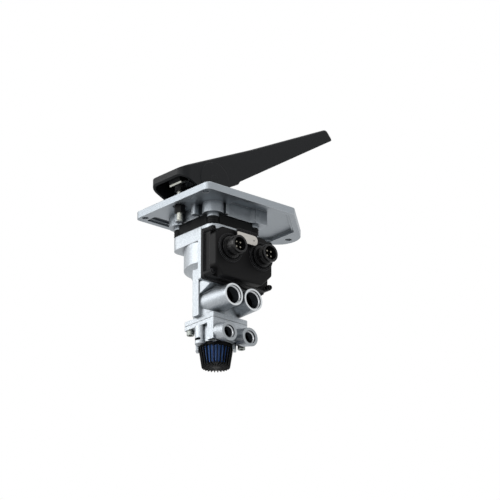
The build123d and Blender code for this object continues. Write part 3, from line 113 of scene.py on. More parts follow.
def painted_sparkle(tree, grain, share):
    """A mask of the highest grains, on which a sparkle of blasted metal is painted, up to this
    share.
    """
    first_height, full_height = 0.42, 0.66
    high = add_node(
        tree,
        "ShaderNodeMapRange",
        {"From Min": first_height, "From Max": full_height, "To Max": share},
        {"Value": grain},
    )
    return high.outputs["Result"]


def painted_crease_shade(tree, reach_mm):
    """A mask of inner corners, where shade is painted within this reach."""
    nearly_open, nearly_shut, darkest = 0.85, 0.25, 0.9
    open_sky = add_node(
        tree, "ShaderNodeAmbientOcclusion", {"samples": 8, "Distance": reach_mm * MM}
    )
    shade_share = add_node(
        tree,
        "ShaderNodeMapRange",
        {"From Min": nearly_open, "From Max": nearly_shut, "To Max": darkest},
        {"Value": open_sky.outputs["AO"]},
    )
    return shade_share.outputs["Result"]


def painted_bore_shade(tree, place, port):
    """A mask of the walls in both bores of a pair of ports, on which shade is painted, but not of
    the bright step.
    """
    shade_start, shade_end, slack, step_slack = 0.3, 23.7, 0.2, 0.15
    radius = port["bore"] + STEP_WIDER + slack
    folded = add_node(tree, "ShaderNodeVectorMath", {"operation": "ABSOLUTE"}, {0: place})
    flat = add_node(
        tree,
        "ShaderNodeVectorMath",
        {"operation": "MULTIPLY", 1: (1.0, 0.0, 1.0)},
        {0: folded.outputs[0]},
    )
    from_axis = add_node(
        tree,
        "ShaderNodeVectorMath",
        {"operation": "DISTANCE", 1: (port["x"] * MM, 0.0, -port["z"] * MM)},
        {0: flat.outputs[0]},
    )
    inside = add_node(
        tree,
        "ShaderNodeMath",
        {"operation": "LESS_THAN", 1: radius * MM},
        {0: from_axis.outputs["Value"]},
    )
    depth = add_node(tree, "ShaderNodeSeparateXYZ", links={"Vector": place}).outputs["Y"]
    middle = (shade_start + shade_end) / 2 - port["mouth"]
    behind_mouth = add_node(
        tree,
        "ShaderNodeMath",
        {"operation": "COMPARE", 1: middle * MM, 2: (shade_end - shade_start) / 2 * MM},
        {0: depth},
    )
    on_step = add_node(
        tree,
        "ShaderNodeMath",
        {"operation": "COMPARE", 1: (STEP_DEEP - port["mouth"]) * MM, 2: step_slack * MM},
        {0: depth},
    )
    walls = add_node(
        tree,
        "ShaderNodeMath",
        {"operation": "MULTIPLY"},
        {0: inside.outputs[0], 1: behind_mouth.outputs[0]},
    )
    below_step = add_node(
        tree,
        "ShaderNodeMath",
        {"operation": "SUBTRACT", "use_clamp": True},
        {0: walls.outputs[0], 1: on_step.outputs[0]},
    )
    return below_step.outputs[0]


def milled_planes(tree, place, planes):
    """A mask of the faces that lie on these planes, each an axis letter and a place."""
    slack = 0.12
    split = add_node(tree, "ShaderNodeSeparateXYZ", links={"Vector": place})
    levels = [
        add_node(
            tree,
            "ShaderNodeMath",
            {"operation": "COMPARE", 1: at * MM, 2: slack * MM},
            {0: split.outputs[letter]},
        ).outputs[0]
        for letter, at in planes
    ]
    mask = levels[0]
    for level in levels[1:]:
        either = add_node(tree, "ShaderNodeMath", {"operation": "MAXIMUM"}, {0: mask, 1: level})
        mask = either.outputs[0]
    return mask


def finish(
    name,
    base,
    tone,
    tone_mm,
    rough,
    metal=0.0,
    grain_mm=0.5,
    grain_lift_mm=0.01,
    edge_highlight=None,
    edge_mm=0.3,
    sparkle_colour=None,
    sparkle_share=0.5,
    crease_shade=None,
    crease_shade_mm=6.0,
    port=None,
    bore_shade_colour=None,
    milled=(),
    milled_colour=None,
    sheen=0.0,
    specular=0.5,
):
    """A finish that drifts between two tones, with a fine grain, softened edges and a highlight
    painted along them.

    A casting also has bright specks that stand for a painted sparkle, painted shade in its creases
    and on the walls of its ports, and faces that were milled bright on some planes.
    """
    material = bpy.data.materials.new(name)
    material.use_nodes = True
    tree = material.node_tree
    tree.nodes.clear()
    place = add_node(tree, "ShaderNodeTexCoord").outputs["Object"]
    drift = add_node(
        tree,
        "ShaderNodeTexNoise",
        {"Scale": per_metre(tone_mm), "Detail": 3.0, "Roughness": 0.6},
        {"Vector": place},
    )
    colour = add_node(
        tree,
        "ShaderNodeMix",
        {"data_type": "RGBA", 6: linear(base), 7: linear(tone)},
        {0: drift.outputs["Fac"]},
    ).outputs[2]
    grain = add_node(
        tree,
        "ShaderNodeTexNoise",
        {"Scale": per_metre(grain_mm), "Detail": 2.0, "Roughness": 0.55},
        {"Vector": place},
    ).outputs["Fac"]
    low_grain, high_grain, rough_spread, milled_rough = 0.3, 0.7, 0.08, 0.3
    roughness = add_node(
        tree,
        "ShaderNodeMapRange",
        {
            "From Min": low_grain,
            "From Max": high_grain,
            "To Min": rough - rough_spread,
            "To Max": rough + rough_spread,
        },
        {"Value": grain},
    ).outputs["Result"]
    soft = add_node(tree, "ShaderNodeBevel", {"samples": 6, "Radius": edge_mm * MM})
    soft_normal = soft.outputs["Normal"]

    layers = []
    # A paler colour on the highest grains: a painted sparkle
    if sparkle_colour:
        layers.append((painted_sparkle(tree, grain, sparkle_share), sparkle_colour))
    # A lighter colour along the edges: a painted highlight
    if edge_highlight:
        layers.append((painted_edge_highlight(tree, soft_normal), edge_highlight))
    # A darker colour in inner corners, from ambient occlusion: painted shade
    if crease_shade:
        layers.append((painted_crease_shade(tree, crease_shade_mm), crease_shade))
    # A dark colour on the walls of the bores: painted shade
    if port:
        layers.append((painted_bore_shade(tree, place, port), bore_shade_colour))
    if milled:
        bright = milled_planes(tree, place, milled)
        layers.append((bright, milled_colour))
        roughness = add_node(
            tree,
            "ShaderNodeMix",
            {"data_type": "FLOAT", 3: milled_rough},
            {0: bright, 2: roughness},
        ).outputs[0]
    for mask, over in layers:
        colour = add_node(
            tree, "ShaderNodeMix", {"data_type": "RGBA", 7: linear(over)}, {0: mask, 6: colour}
        ).outputs[2]

    bump = add_node(
        tree,
        "ShaderNodeBump",
        {"Strength": 0.6, "Distance": grain_lift_mm * MM},
        {"Height": grain, "Normal": soft_normal},
    )
    shader = add_node(
        tree,
        "ShaderNodeBsdfPrincipled",
        {"Metallic": metal, "Sheen Weight": sheen, "Specular IOR Level": specular},
        {"Base Color": colour, "Roughness": roughness, "Normal": bump.outputs["Normal"]},
    )
    add_node(tree, "ShaderNodeOutputMaterial", links={"Surface": shader.outputs[0]})
    return material


# In the finishes below, each edge colour is a highlight painted along the edges.
# Bare die-cast aluminium, shot-blasted: a pale matt skin with a fine grain, on whose highest grains
# a sparkle is painted.
# The grain of all three castings is drawn some five times too coarse, so that it shows.
cast_plate = finish(
    "shot_blasted_die_cast_aluminium_plate",
    base="#989ea3",
    tone="#8d9399",
    tone_mm=26,
    rough=0.47,
    metal=1.0,
    grain_mm=1.5,
    grain_lift_mm=0.22,
    edge_highlight="#c6cbcf",
    edge_mm=0.7,
    sparkle_colour="#a9afb4",
    crease_shade="#3c4247",
    crease_shade_mm=8.0,
)


def cast_housing(row, tone_mm, rough, edge_mm, joint_planes, milled_colour):
    """The same casting alloy on a valve housing, with its mouths and joint faces milled."""
    port = PORTS[row]
    mouth = port["mouth"]
    return finish(
        f"shot_blasted_die_cast_aluminium_{row}_valve",
        base="#a4a9ae",
        tone="#989ea3",
        tone_mm=tone_mm,
        rough=rough,
        metal=1.0,
        grain_mm=1.5,
        grain_lift_mm=0.42,
        edge_highlight="#d4d8da",
        edge_mm=edge_mm,
        sparkle_colour="#bfc4c8",
        sparkle_share=0.8,
        crease_shade="#3f454a",
        port=port,
        # Shade painted on the walls of the bores
        bore_shade_colour="#17191c",
        milled=[("Y", -mouth), ("Y", STEP_DEEP - mouth)] + [("Z", at) for at in joint_planes],
        milled_colour=milled_colour,
    )


cast_upper = cast_housing("upper", 18, 0.48, 0.6, (-152.0, -29.0), "#cdd1d4")
cast_lower = cast_housing("lower", 14, 0.46, 0.5, (-152.6,), "#94999d")
# Smooth black nylon of the silencer's cage, nearly without gloss
cage_nylon = finish(
    "moulded_black_nylon_cage",
    base="#0f1011",
    tone="#0c0d0e",
    tone_mm=12,
    rough=0.46,
    grain_mm=0.9,
    grain_lift_mm=0.02,
    edge_highlight="#2b2d2f",
    specular=0.09,
)
# A tapped thread down in its bore, which little light reaches: its dark colour is painted shade,
# and it is half bright
thread_in_painted_shade = finish(
    "tapped_aluminium_thread_in_painted_shade",
    base="#25282b",
    tone="#1e2124",
    tone_mm=5,
    rough=0.34,
    metal=1.0,
    edge_mm=0.5,
)
# Black powder coat on a cast pedal: satin, with a fine orange peel and no sparkle
pedal_coat = finish(
    "black_powder_coat",
    base="#15171a",
    tone="#121416",
    tone_mm=30,
    rough=0.44,
    grain_mm=1.2,
    grain_lift_mm=0.03,
    edge_highlight="#24282b",
    edge_mm=0.8,
    specular=0.16,
)
# Glass-filled nylon from a spark-eroded mould: matt black, with a greyer highlight painted along
# its edges
cover_nylon = finish(
    "spark_eroded_black_nylon",
    base="#131314",
    tone="#101011",
    tone_mm=20,
    rough=0.50,
    grain_mm=0.9,
    grain_lift_mm=0.05,
    edge_highlight="#5c5c5f",
    edge_mm=0.9,
    specular=0.12,
)
# The same nylon from a polished part of the mould: smoother and a little glossier
plug_nylon = finish(
    "polished_black_nylon",
    base="#121213",
    tone="#0f0f10",
    tone_mm=12,
    rough=0.30,
    grain_mm=0.7,
    grain_lift_mm=0.012,
    edge_highlight="#454548",
    edge_mm=0.6,
    specular=0.3,
)
# Plain moulded nylon of the spacer: the dullest black on the module
spacer_nylon = finish(
    "moulded_black_nylon_spacer",
    base="#0e1011",
    tone="#0b0d0e",
    tone_mm=15,
    rough=0.55,
    grain_mm=0.9,
    grain_lift_mm=0.03,
    edge_highlight="#222528",
    edge_mm=0.5,
    specular=0.12,
)
# Moulded natural rubber: dull, with a paler highlight painted on its edges and crests
black_rubber = finish(
    "moulded_black_rubber",
    base="#111213",
    tone="#151617",
    tone_mm=8,
    rough=0.72,
    grain_mm=0.6,
    grain_lift_mm=0.03,
    edge_highlight="#222426",
    edge_mm=0.6,
    specular=0.25,
)
# Bright zinc plate on turned and rolled steel: nearly white, faintly yellow
zinc_plate = finish(
    "bright_zinc_plate",
    base="#bdbeb6",
    tone="#aeb0aa",
    tone_mm=6,
    rough=0.30,
    metal=1.0,
    edge_highlight="#dcdcd4",
)
# Zinc flake dip on bolt heads: grey, dull and slightly mottled
dull_zinc = finish(
    "zinc_flake_dip",
    base="#969a97",
    tone="#838883",
    tone_mm=4,
    rough=0.48,
    metal=1.0,
    grain_mm=0.6,
    grain_lift_mm=0.02,
    edge_highlight="#bcbfbb",
)
# Black oxide on a nut and on screws: nearly black, with a paler highlight painted on its corners
black_oxide = finish(
    "black_oxide_steel",
    base="#0e0f10",
    tone="#121314",
    tone_mm=5,
    rough=0.42,
    edge_highlight="#303336",
    specular=0.1,
)
# Centreless ground steel on the pins and the plunger: smooth and bright
ground_steel = finish(
    "ground_steel",
    base="#b4b6b8",
    tone="#a9acae",
    tone_mm=8,
    rough=0.22,
    metal=1.0,
    grain_mm=0.4,
    grain_lift_mm=0.005,
    edge_highlight="#d6d8da",
)
# Turned aluminium on the pistons and port chamfers: bright, with a soft sheen
turned_aluminium = finish(
    "turned_aluminium",
    base="#c2c5c8",
    tone="#b8bbbf",
    tone_mm=6,
    rough=0.28,
    metal=1.0,
    grain_mm=0.4,
    edge_highlight="#dfe1e3",
)
# Drawn spring wire with its oil film: dark and half bright
spring_wire = finish(
    "oiled_spring_wire",
    base="#55585b",
    tone="#494c4f",
    tone_mm=4,
    rough=0.35,
    metal=1.0,
    grain_mm=0.4,
    grain_lift_mm=0.008,
    edge_highlight="#7c7f82",
    edge_mm=0.2,
)
# Natural acetal: milky white and waxy
acetal = finish(
    "natural_acetal",
    base="#d9d5c8",
    tone="#d3cfc1",
    tone_mm=10,
    rough=0.38,
    grain_mm=0.6,
    grain_lift_mm=0.008,
    edge_highlight="#e4e1d6",
    edge_mm=0.4,
)
# Grey nylon roller, turned and worn smooth by its track
grey_nylon = finish(
    "grey_nylon_roller",
    base="#43474a",
    tone="#3c4043",
    tone_mm=8,
    rough=0.40,
    edge_highlight="#55595c",
    edge_mm=0.4,
)
# Tin over brass on the contacts, down in their sockets: pale, with small highlights
plated_contact = finish(
    "tin_plated_brass_contact",
    base="#99968a",
    tone="#8c897d",
    tone_mm=2,
    rough=0.30,
    metal=1.0,
    grain_mm=0.4,
    grain_lift_mm=0.003,
    edge_highlight="#b9b6aa",
    edge_mm=0.2,
)
# Bare cream plate: a smooth film, a little warm
label_skin = finish(
    "bare_cream_film",
    base="#e4dfd8",
    tone="#dfd9d0",
    tone_mm=6,
    rough=0.45,
    grain_mm=0.6,
    grain_lift_mm=0.006,
    edge_highlight="#ece8e2",
)
# Needled polyester felt in blue: no gloss, a soft fibre fuzz, and a paler highlight painted on the
# crests
blue_felt = finish(
    "blue_needled_felt",
    base="#4672b6",
    tone="#507ec2",
    tone_mm=2.0,
    rough=0.95,
    grain_lift_mm=0.2,
    edge_highlight="#a9c4ec",
    edge_mm=0.5,
    sheen=0.4,
    specular=0.1,
)
# Pressed fibre sheet of the gasket: dark grey, dry
fibre_gasket = finish(
    "pressed_fibre_gasket",
    base="#3a3d3f",
    tone="#444749",
    tone_mm=2,
    rough=0.8,
    grain_mm=0.4,
    grain_lift_mm=0.02,
    edge_mm=0.1,
)

node_finishes = {
    cast_plate: ["base_plate"],
    cast_upper: ["upper_housing"],
    cast_lower: ["lower_housing"],
    pedal_coat: ["pedal", "pivot_caps"],
    cover_nylon: ["sensor_cover", "sensor_base", "label_carrier"],
    cage_nylon: ["silencer_cage"],
    plug_nylon: ["left_connector", "right_connector"],
    spacer_nylon: ["spacer_block", "flange_bushes"],
    black_rubber: [
        "gaiter",
        "graduating_spring",
        "stop_buffer",
        "upper_valve",
        "lower_valve",
        "upper_piston_seal",
        "relay_piston_seal",
    ],
    zinc_plate: ["stop_striker", "stop_stud", "spring_plate"],
    dull_zinc: ["valve_bolts", "pair_bolts"],
    black_oxide: ["stop_lock_nut", "stop_collar_nut", "sensor_screws"],
    ground_steel: ["pivot_pin", "roller_pin", "plunger"],
    turned_aluminium: ["upper_piston", "relay_piston"],
    spring_wire: ["piston_spring", "relay_spring", "upper_valve_spring", "lower_valve_spring"],
    acetal: ["plunger_guide", "valve_carrier", "exhaust_guide"],
    grey_nylon: ["roller"],
    plated_contact: ["left_contacts", "right_contacts", "sensor_target"],
    label_skin: ["label_plate"],
    blue_felt: ["silencer_filter"],
    fibre_gasket: ["pair_gasket"],
}
for material, names in node_finishes.items():
    for node_name in names:
        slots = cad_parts[node_name].data.materials
        slots.clear()
        slots.append(material)


SHARP_ANGLE, THREAD_SHARP_ANGLE = 35.0, 50.0
SAME_POINT = 0.001


def smooth(mesh, sharp):
    """Shade the mesh smooth, apart from its edges sharper than this angle."""
    mesh.shade_smooth()
    mesh.set_sharp_from_angle(angle=math.radians(sharp))


def outward(mesh, sharp=SHARP_ANGLE):
    """The mesh with its doubles merged and its faces outwards, smooth up to this angle."""
    work = bmesh.new()
    work.from_mesh(mesh)
    bmesh.ops.remove_doubles(work, verts=work.verts, dist=SAME_POINT * MM)
    bmesh.ops.recalc_face_normals(work, faces=work.faces)
    work.to_mesh(mesh)
    work.free()
    smooth(mesh, sharp)
    return mesh


def piece(name, mesh, material):
    """A finished mesh as a piece that rides on the housing, with its finish."""
    mesh.name = name
    mesh.materials.clear()
    mesh.materials.append(material)
    made = bpy.data.objects.new(name, mesh)
    bpy.context.scene.collection.objects.link(made)
    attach(made, "housing")
    return made


def turned(profile, steps):
    """A closed profile of (radius, height) in mm, turned round Z into a ring."""
    count = len(profile)
    points = [
        (radius * math.cos(turn) * MM, radius * math.sin(turn) * MM, height * MM)
        for turn in (math.tau * step / steps for step in range(steps))
        for radius, height in profile
    ]
    faces = [
        (
            step * count + at,
            (step + 1) % steps * count + at,
            (step + 1) % steps * count + (at + 1) % count,
            step * count + (at + 1) % count,
        )
        for step in range(steps)
        for at in range(count)
    ]
    mesh = bpy.data.meshes.new("turned")
    mesh.from_pydata(points, [], faces)
    return outward(mesh)


def rib_section(radius, rise, tall):
    """The section of a low round rib, closed by the wall that it stands on."""
    arc_steps = 6
    return [
        (radius + rise * math.sin(math.pi * at / arc_steps), tall * (at / arc_steps - 0.5))
        for at in range(arc_steps + 1)
    ]


def start_tree(name, inputs):
    """A geometry tree with a Geometry input and these named inputs, and its input sockets."""
    tree = bpy.data.node_groups.new(name, "GeometryNodeTree")
    tree.interface.new_socket("Geometry", in_out="INPUT", socket_type="NodeSocketGeometry")
    for label, kind in inputs:
        tree.interface.new_socket(label, in_out="INPUT", socket_type="NodeSocket" + kind)
    tree.interface.new_socket("Geometry", in_out="OUTPUT", socket_type="NodeSocketGeometry")
    return tree, add_node(tree, "NodeGroupInput").outputs


def end_tree(tree, geometry, material):
    """The tree's last nodes: real copies, with their material."""
    real = add_node(tree, "GeometryNodeRealizeInstances", links={"Geometry": geometry})
    dressed = add_node(
        tree,
        "GeometryNodeSetMaterial",
        links={"Geometry": real.outputs["Geometry"], "Material": material},
    )
    add_node(tree, "NodeGroupOutput", links={"Geometry": dressed.outputs["Geometry"]})


def shaped(tree, seed_mesh, values):
    """What the tree makes of a seed mesh with these values, as a plain mesh."""
    seed = bpy.data.objects.new("seed", seed_mesh)
    modifier = seed.modifiers.new("shape", "NODES")
    modifier.node_group = tree
    for item in tree.interface.items_tree:
        if item.in_out == "INPUT" and item.name in values:
            modifier[item.identifier] = values[item.name]
    bpy.context.scene.collection.objects.link(seed)
    seen = seed.evaluated_get(bpy.context.evaluated_depsgraph_get())
    made = bpy.data.meshes.new_from_object(seen)
    seed.modifiers.clear()
    bpy.data.objects.remove(seed)
    return made


# A section of even sides swept along a helix that winds up from the origin. With four
# sides it is a thread's ridge, half of it in the wall that carries it, and with many it is
# the round wire of a spring.
winding_tree, given = start_tree(
    "wound_section",
    [
        ("Radius", "Float"),
        ("Height", "Float"),
        ("Turns", "Float"),
        ("Section", "Float"),
        ("Sides", "Int"),
        ("Steps", "Int"),
        ("Material", "Material"),
    ],
)
helix = add_node(
    winding_tree,
    "GeometryNodeCurveSpiral",
    links={
        "Resolution": given["Steps"],
        "Rotations": given["Turns"],
        "Start Radius": given["Radius"],
        "End Radius": given["Radius"],
        "Height": given["Height"],
    },
)
upright = add_node(
    winding_tree, "GeometryNodeSetCurveNormal", {"mode": "Z_UP"}, {"Curve": helix.outputs["Curve"]}
)
section = add_node(
    winding_tree,
    "GeometryNodeCurvePrimitiveCircle",
    {"mode": "RADIUS"},
    {"Radius": given["Section"], "Resolution": given["Sides"]},
)
wound = add_node(
    winding_tree,
    "GeometryNodeCurveToMesh",
    {"Fill Caps": True},
    {"Curve": upright.outputs["Curve"], "Profile Curve": section.outputs["Curve"]},
)
end_tree(winding_tree, wound.outputs["Mesh"], given["Material"])

# Copies of the seed, which lies out along X, turned round Z in even steps
ring_tree, given = start_tree("copies_round_an_axis", [("Count", "Int"), ("Material", "Material")])
hub = add_node(ring_tree, "GeometryNodePoints", links={"Count": given["Count"]})
step = add_node(
    ring_tree, "ShaderNodeMath", {"operation": "DIVIDE", 0: math.tau}, {1: given["Count"]}
)
number = add_node(ring_tree, "GeometryNodeInputIndex")
turn = add_node(
    ring_tree,
    "ShaderNodeMath",
    {"operation": "MULTIPLY"},
    {0: number.outputs["Index"], 1: step.outputs[0]},
)
heading = add_node(ring_tree, "ShaderNodeCombineXYZ", links={"Z": turn.outputs[0]})
copies = add_node(
    ring_tree,
    "GeometryNodeInstanceOnPoints",
    links={
        "Points": hub.outputs[0],
        "Instance": given["Geometry"],
        "Rotation": heading.outputs["Vector"],
    },
)
end_tree(ring_tree, copies.outputs["Instances"], given["Material"])

# Copies of the seed on the points of a square grid, and in layers up from each
stack_tree, given = start_tree(
    "copies_in_stacks",
    [
        ("Pitch", "Float"),
        ("Side", "Int"),
        ("Layers", "Int"),
        ("Rise", "Vector"),
        ("Material", "Material"),
    ],
)
corners = add_node(
    stack_tree,
    "GeometryNodeMeshGrid",
    links={
        "Size X": given["Pitch"],
        "Size Y": given["Pitch"],
        "Vertices X": given["Side"],
        "Vertices Y": given["Side"],
    },
)
column = add_node(
    stack_tree,
    "GeometryNodeMeshLine",
    {"mode": "OFFSET"},
    {"Count": given["Layers"], "Offset": given["Rise"]},
)
stack = add_node(
    stack_tree,
    "GeometryNodeInstanceOnPoints",
    links={"Points": column.outputs["Mesh"], "Instance": given["Geometry"]},
)
copies = add_node(
    stack_tree,
    "GeometryNodeInstanceOnPoints",
    links={"Points": corners.outputs["Mesh"], "Instance": stack.outputs["Instances"]},
)
end_tree(stack_tree, copies.outputs["Instances"], given["Material"])

STEPS_PER_TURN = 40
SIDES = (("left", -1), ("right", 1))
NO_SEED = bpy.data.meshes.new("nothing")
OUT_OF_PORT = Matrix.Rotation(math.radians(90), 4, "X")


def moved(x, y, z):
    """A move by these millimetres."""
    return Matrix.Translation((x * MM, y * MM, z * MM))


def wind(name, place, material, radius, pitch, turns, section, sides):
    """A thread or a spring as a piece, wound up from the origin and put in its place."""
    values = {
        "Radius": radius * MM,
        "Height": pitch * turns * MM,
        "Turns": float(turns),
        "Section": section * MM,
        "Sides": sides,
        "Steps": STEPS_PER_TURN,
        "Material": material,
    }
    mesh = shaped(winding_tree, NO_SEED, values)
    mesh.transform(place)
    return piece(name, outward(mesh, THREAD_SHARP_ANGLE), material)


# Metric fine threads in the four air ports, cut after casting
FINE_PITCH = 1.5
RIDGE = 0.7
THREAD_START = 3.4
for row, port in PORTS.items():
    deep_end = THREAD_START - port["mouth"] + FINE_PITCH * port["turns"]
    for side, sign in SIDES:
        wind(
            f"{row}_{side}_port_thread",
            moved(sign * port["x"], deep_end, port["z"]) @ OUT_OF_PORT,
            thread_in_painted_shade,
            radius=port["bore"],
            pitch=FINE_PITCH,
            turns=port["turns"],
            section=RIDGE,
            sides=4,
        )

# The turned chamfer that leads into each thread, a bright ring just below the step
LEAD_START = STEP_DEEP + 0.05
LEAD_DEEP, LEAD_LIP_DEEP, LEAD_WIDE, LEAD_IN_WALL = 1.6, 1.2, 1.0, 0.05
for row, port in PORTS.items():
    wall = port["bore"] + LEAD_IN_WALL
    lead = turned([(wall, 0.0), (wall, -LEAD_DEEP), (port["bore"] - LEAD_WIDE, -LEAD_LIP_DEEP)], 72)
    for side, sign in SIDES:
        ring = lead.copy()
        ring.transform(
            moved(sign * port["x"], LEAD_START - port["mouth"], port["z"]) @ OUT_OF_PORT
        )
        piece(f"{row}_{side}_port_chamfer", ring, turned_aluminium)

# Coarse thread on the pedal stop's stud, below its lock nut and above the plate
STUD_X = -62.5
for name, low in (("stop_stud_thread_below", -19.2), ("stop_stud_thread_above", 10.6)):
    wind(
        name,
        moved(STUD_X, 0, low),
        zinc_plate,
        radius=3.5,
        pitch=1.25,
        turns=7,
        section=0.45,
        sides=4,
    )

# Return springs inside the valve: the node, the coil's radius, the wire's, its foot and top,
# and what presses it and how far
SPRING_TURNS = 3
SPRING_SLACK = 0.1
for name, radius, wire, low, high, joint, travel in (
    ("piston_spring", 18.0, 1.4, -88.0, -72.0, "primary_piston_slide", 3.0),
    ("relay_spring", 14.0, 1.4, -160.0, -148.0, "secondary_piston_slide", 3.0),
    ("upper_valve_spring", 11.5, 0.8, -112.0, -99.0, "primary_valve_slide", 2.0),
    ("lower_valve_spring", 9.5, 0.8, -181.0, -172.0, "secondary_valve_slide", 2.0),
):
    coil = wind(
        f"{name}_coil",
        moved(0, 0, low + wire + SPRING_SLACK / 2),
        spring_wire,
        radius=radius,
        pitch=(high - low - 2 * wire - SPRING_SLACK) / SPRING_TURNS,
        turns=SPRING_TURNS,
        section=wire,
        sides=10,
    )
    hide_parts(name)
    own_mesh(coil)

# The plunger's gaiter: four soft folds with a bead at each end
GAITER_LOW, GAITER_HIGH = -2.0, 20.5
GAITER_FOLDS, GAITER_WALL, GAITER_ROWS = 4, 1.1, 64
GAITER_NECK, GAITER_SWELL = 14.1, 4.3
BEAD_RADIUS, BEAD_SHARE = 14.9, 0.045


def gaiter_radius(part_up):
    """The gaiter's outer radius at this share of its height."""
    if min(part_up, 1 - part_up) < BEAD_SHARE:
        return BEAD_RADIUS
    swell = 0.5 - 0.5 * math.cos(math.tau * GAITER_FOLDS * part_up)
    return GAITER_NECK + GAITER_SWELL * swell**0.75


gaiter_outside = [
    (gaiter_radius(row / GAITER_ROWS), GAITER_LOW + (GAITER_HIGH - GAITER_LOW) * row / GAITER_ROWS)
    for row in range(GAITER_ROWS + 1)
]
gaiter_inside = [(radius - GAITER_WALL, height) for radius, height in reversed(gaiter_outside)]
gaiter = piece(
    "plunger_gaiter", turned(gaiter_outside + gaiter_inside, 72), black_rubber
)
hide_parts("gaiter")
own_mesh(gaiter)

# The rubber graduating spring: two bulges round a bore.
RUBBER_LOW, RUBBER_HIGH = -63.8, -33.2
RUBBER_BORE, RUBBER_WAIST, RUBBER_BULGE, RUBBER_ROWS = 6.2, 14.0, 1.9, 24
rubber_outside = [
    (
        RUBBER_WAIST + RUBBER_BULGE * abs(math.sin(math.tau * row / RUBBER_ROWS)) ** 0.8,
        RUBBER_LOW + (RUBBER_HIGH - RUBBER_LOW) * row / RUBBER_ROWS,
    )
    for row in range(RUBBER_ROWS + 1)
]
rubber_profile = [(RUBBER_BORE, RUBBER_LOW)] + rubber_outside + [(RUBBER_BORE, RUBBER_HIGH)]
graduating = piece("graduating_rubber", turned(rubber_profile, 64), black_rubber)
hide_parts("graduating_spring")
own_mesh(graduating)

# The silencer's filter: felt folded into pleats that stand behind the slots of its cage.
# One pleat is a wedge with a flat crest, wider at its root, and tapers down with the cage.
PLEATS = 36
PLEAT_DEEP = 1.9
PLEAT_CREST_SHARE = 0.3
pleat_points = []
for height, outer in ((-183.5, 19.0), (-206.3, 15.8)):
    inner = outer - PLEAT_DEEP
    for radius, share in (
        (inner, -1),
        (outer, -PLEAT_CREST_SHARE),
        (outer, PLEAT_CREST_SHARE),
        (inner, 1),
    ):
        turn = share * math.pi / PLEATS
        pleat_points.append(
            (radius * math.cos(turn) * MM, radius * math.sin(turn) * MM, height * MM)
        )
pleat = bpy.data.meshes.new("pleat")
pleat.from_pydata(
    pleat_points,
    [],
    [(0, 1, 2, 3), (4, 5, 6, 7), (0, 1, 5, 4), (1, 2, 6, 5), (2, 3, 7, 6), (3, 0, 4, 7)],
)
pleats = shaped(ring_tree, outward(pleat), {"Count": PLEATS, "Material": blue_felt})
filter_pleats = piece("pleated_filter", outward(pleats), blue_felt)
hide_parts("silencer_filter")

# The silencer's cage: a collar and a floor, joined by thin fins that run on under the
# floor to its hub
CAGE_FINS = 26
CAGE_FOOT = -208.95
COLLAR_TOP, COLLAR_FOOT, COLLAR_BORE = -180.05, -183.4, 17.1
CAGE_FLOOR_TOP, CAGE_FLOOR_FOOT, CAGE_FLOOR_EDGE = -206.4, -207.2, 17.6
HUB_FOOT = -208.9


def blade(outline):
    """A thin fin from its outline of (way out, height, half thickness) in mm."""
    count = len(outline)
    mesh = bpy.data.meshes.new("blade")
    mesh.from_pydata(
        [(x * MM, side * half * MM, z * MM) for side in (-1, 1) for x, z, half in outline],
        [],
        [tuple(range(count)), tuple(range(count, 2 * count))]
        + [(at, (at + 1) % count, (at + 1) % count + count, at + count) for at in range(count)],
    )
    return outward(mesh)


side_fin = blade(
    (
        (20.2, -183.2, 0.8),
        (22.6, -183.2, 0.5),
        (18.95, -206.9, 0.5),
        (18.6, CAGE_FOOT, 0.5),
        (17.2, CAGE_FOOT, 0.8),
        (16.4, -206.2, 0.8),
    )
)
floor_fin = blade(
    (
        (4.0, -206.9, 0.35),
        (CAGE_FLOOR_EDGE, -206.9, 0.5),
        (CAGE_FLOOR_EDGE, CAGE_FOOT, 0.5),
        (4.0, CAGE_FOOT, 0.35),
    )
)
collar = turned(
    [
        (COLLAR_BORE, COLLAR_TOP),
        (22.2, COLLAR_TOP),
        (22.55, -180.5),
        (22.45, -183.1),
        (22.0, COLLAR_FOOT),
        (COLLAR_BORE, COLLAR_FOOT),
    ],
    96,
)
cage_floor = turned(
    [
        (0.0, CAGE_FLOOR_TOP),
        (CAGE_FLOOR_EDGE, CAGE_FLOOR_TOP),
        (17.9, -206.7),
        (17.9, CAGE_FLOOR_FOOT),
        (4.6, CAGE_FLOOR_FOOT),
        (4.4, HUB_FOOT),
        (0.0, HUB_FOOT),
    ],
    96,
)
cage = bmesh.new()
cage.from_mesh(collar)
cage.from_mesh(cage_floor)
for fin in (side_fin, floor_fin):
    cage.from_mesh(shaped(ring_tree, fin, {"Count": CAGE_FINS, "Material": cage_nylon}))
cage_mesh = bpy.data.meshes.new("cage")
cage.to_mesh(cage_mesh)
cage.free()
smooth(cage_mesh, SHARP_ANGLE)
silencer = piece("finned_silencer_cage", cage_mesh, cage_nylon)
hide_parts("silencer_cage")

# Three ribs round each black bush between the plate's feet and the valve
BUSH_PITCH = 68.0
BUSH_RIB_LOW = -26.2
BUSH_RIB_RISE = 3.2
bush_ribs = shaped(
    stack_tree,
    turned(rib_section(radius=7.1, rise=0.75, tall=1.6), 32),
    {
        "Pitch": BUSH_PITCH * MM,
        "Side": 2,
        "Layers": 3,
        "Rise": (0.0, 0.0, BUSH_RIB_RISE * MM),
        "Material": black_rubber,
    },
)
bush_ribs.transform(moved(0, 0, BUSH_RIB_LOW))
piece("flange_bush_ribs", outward(bush_ribs), black_rubber)

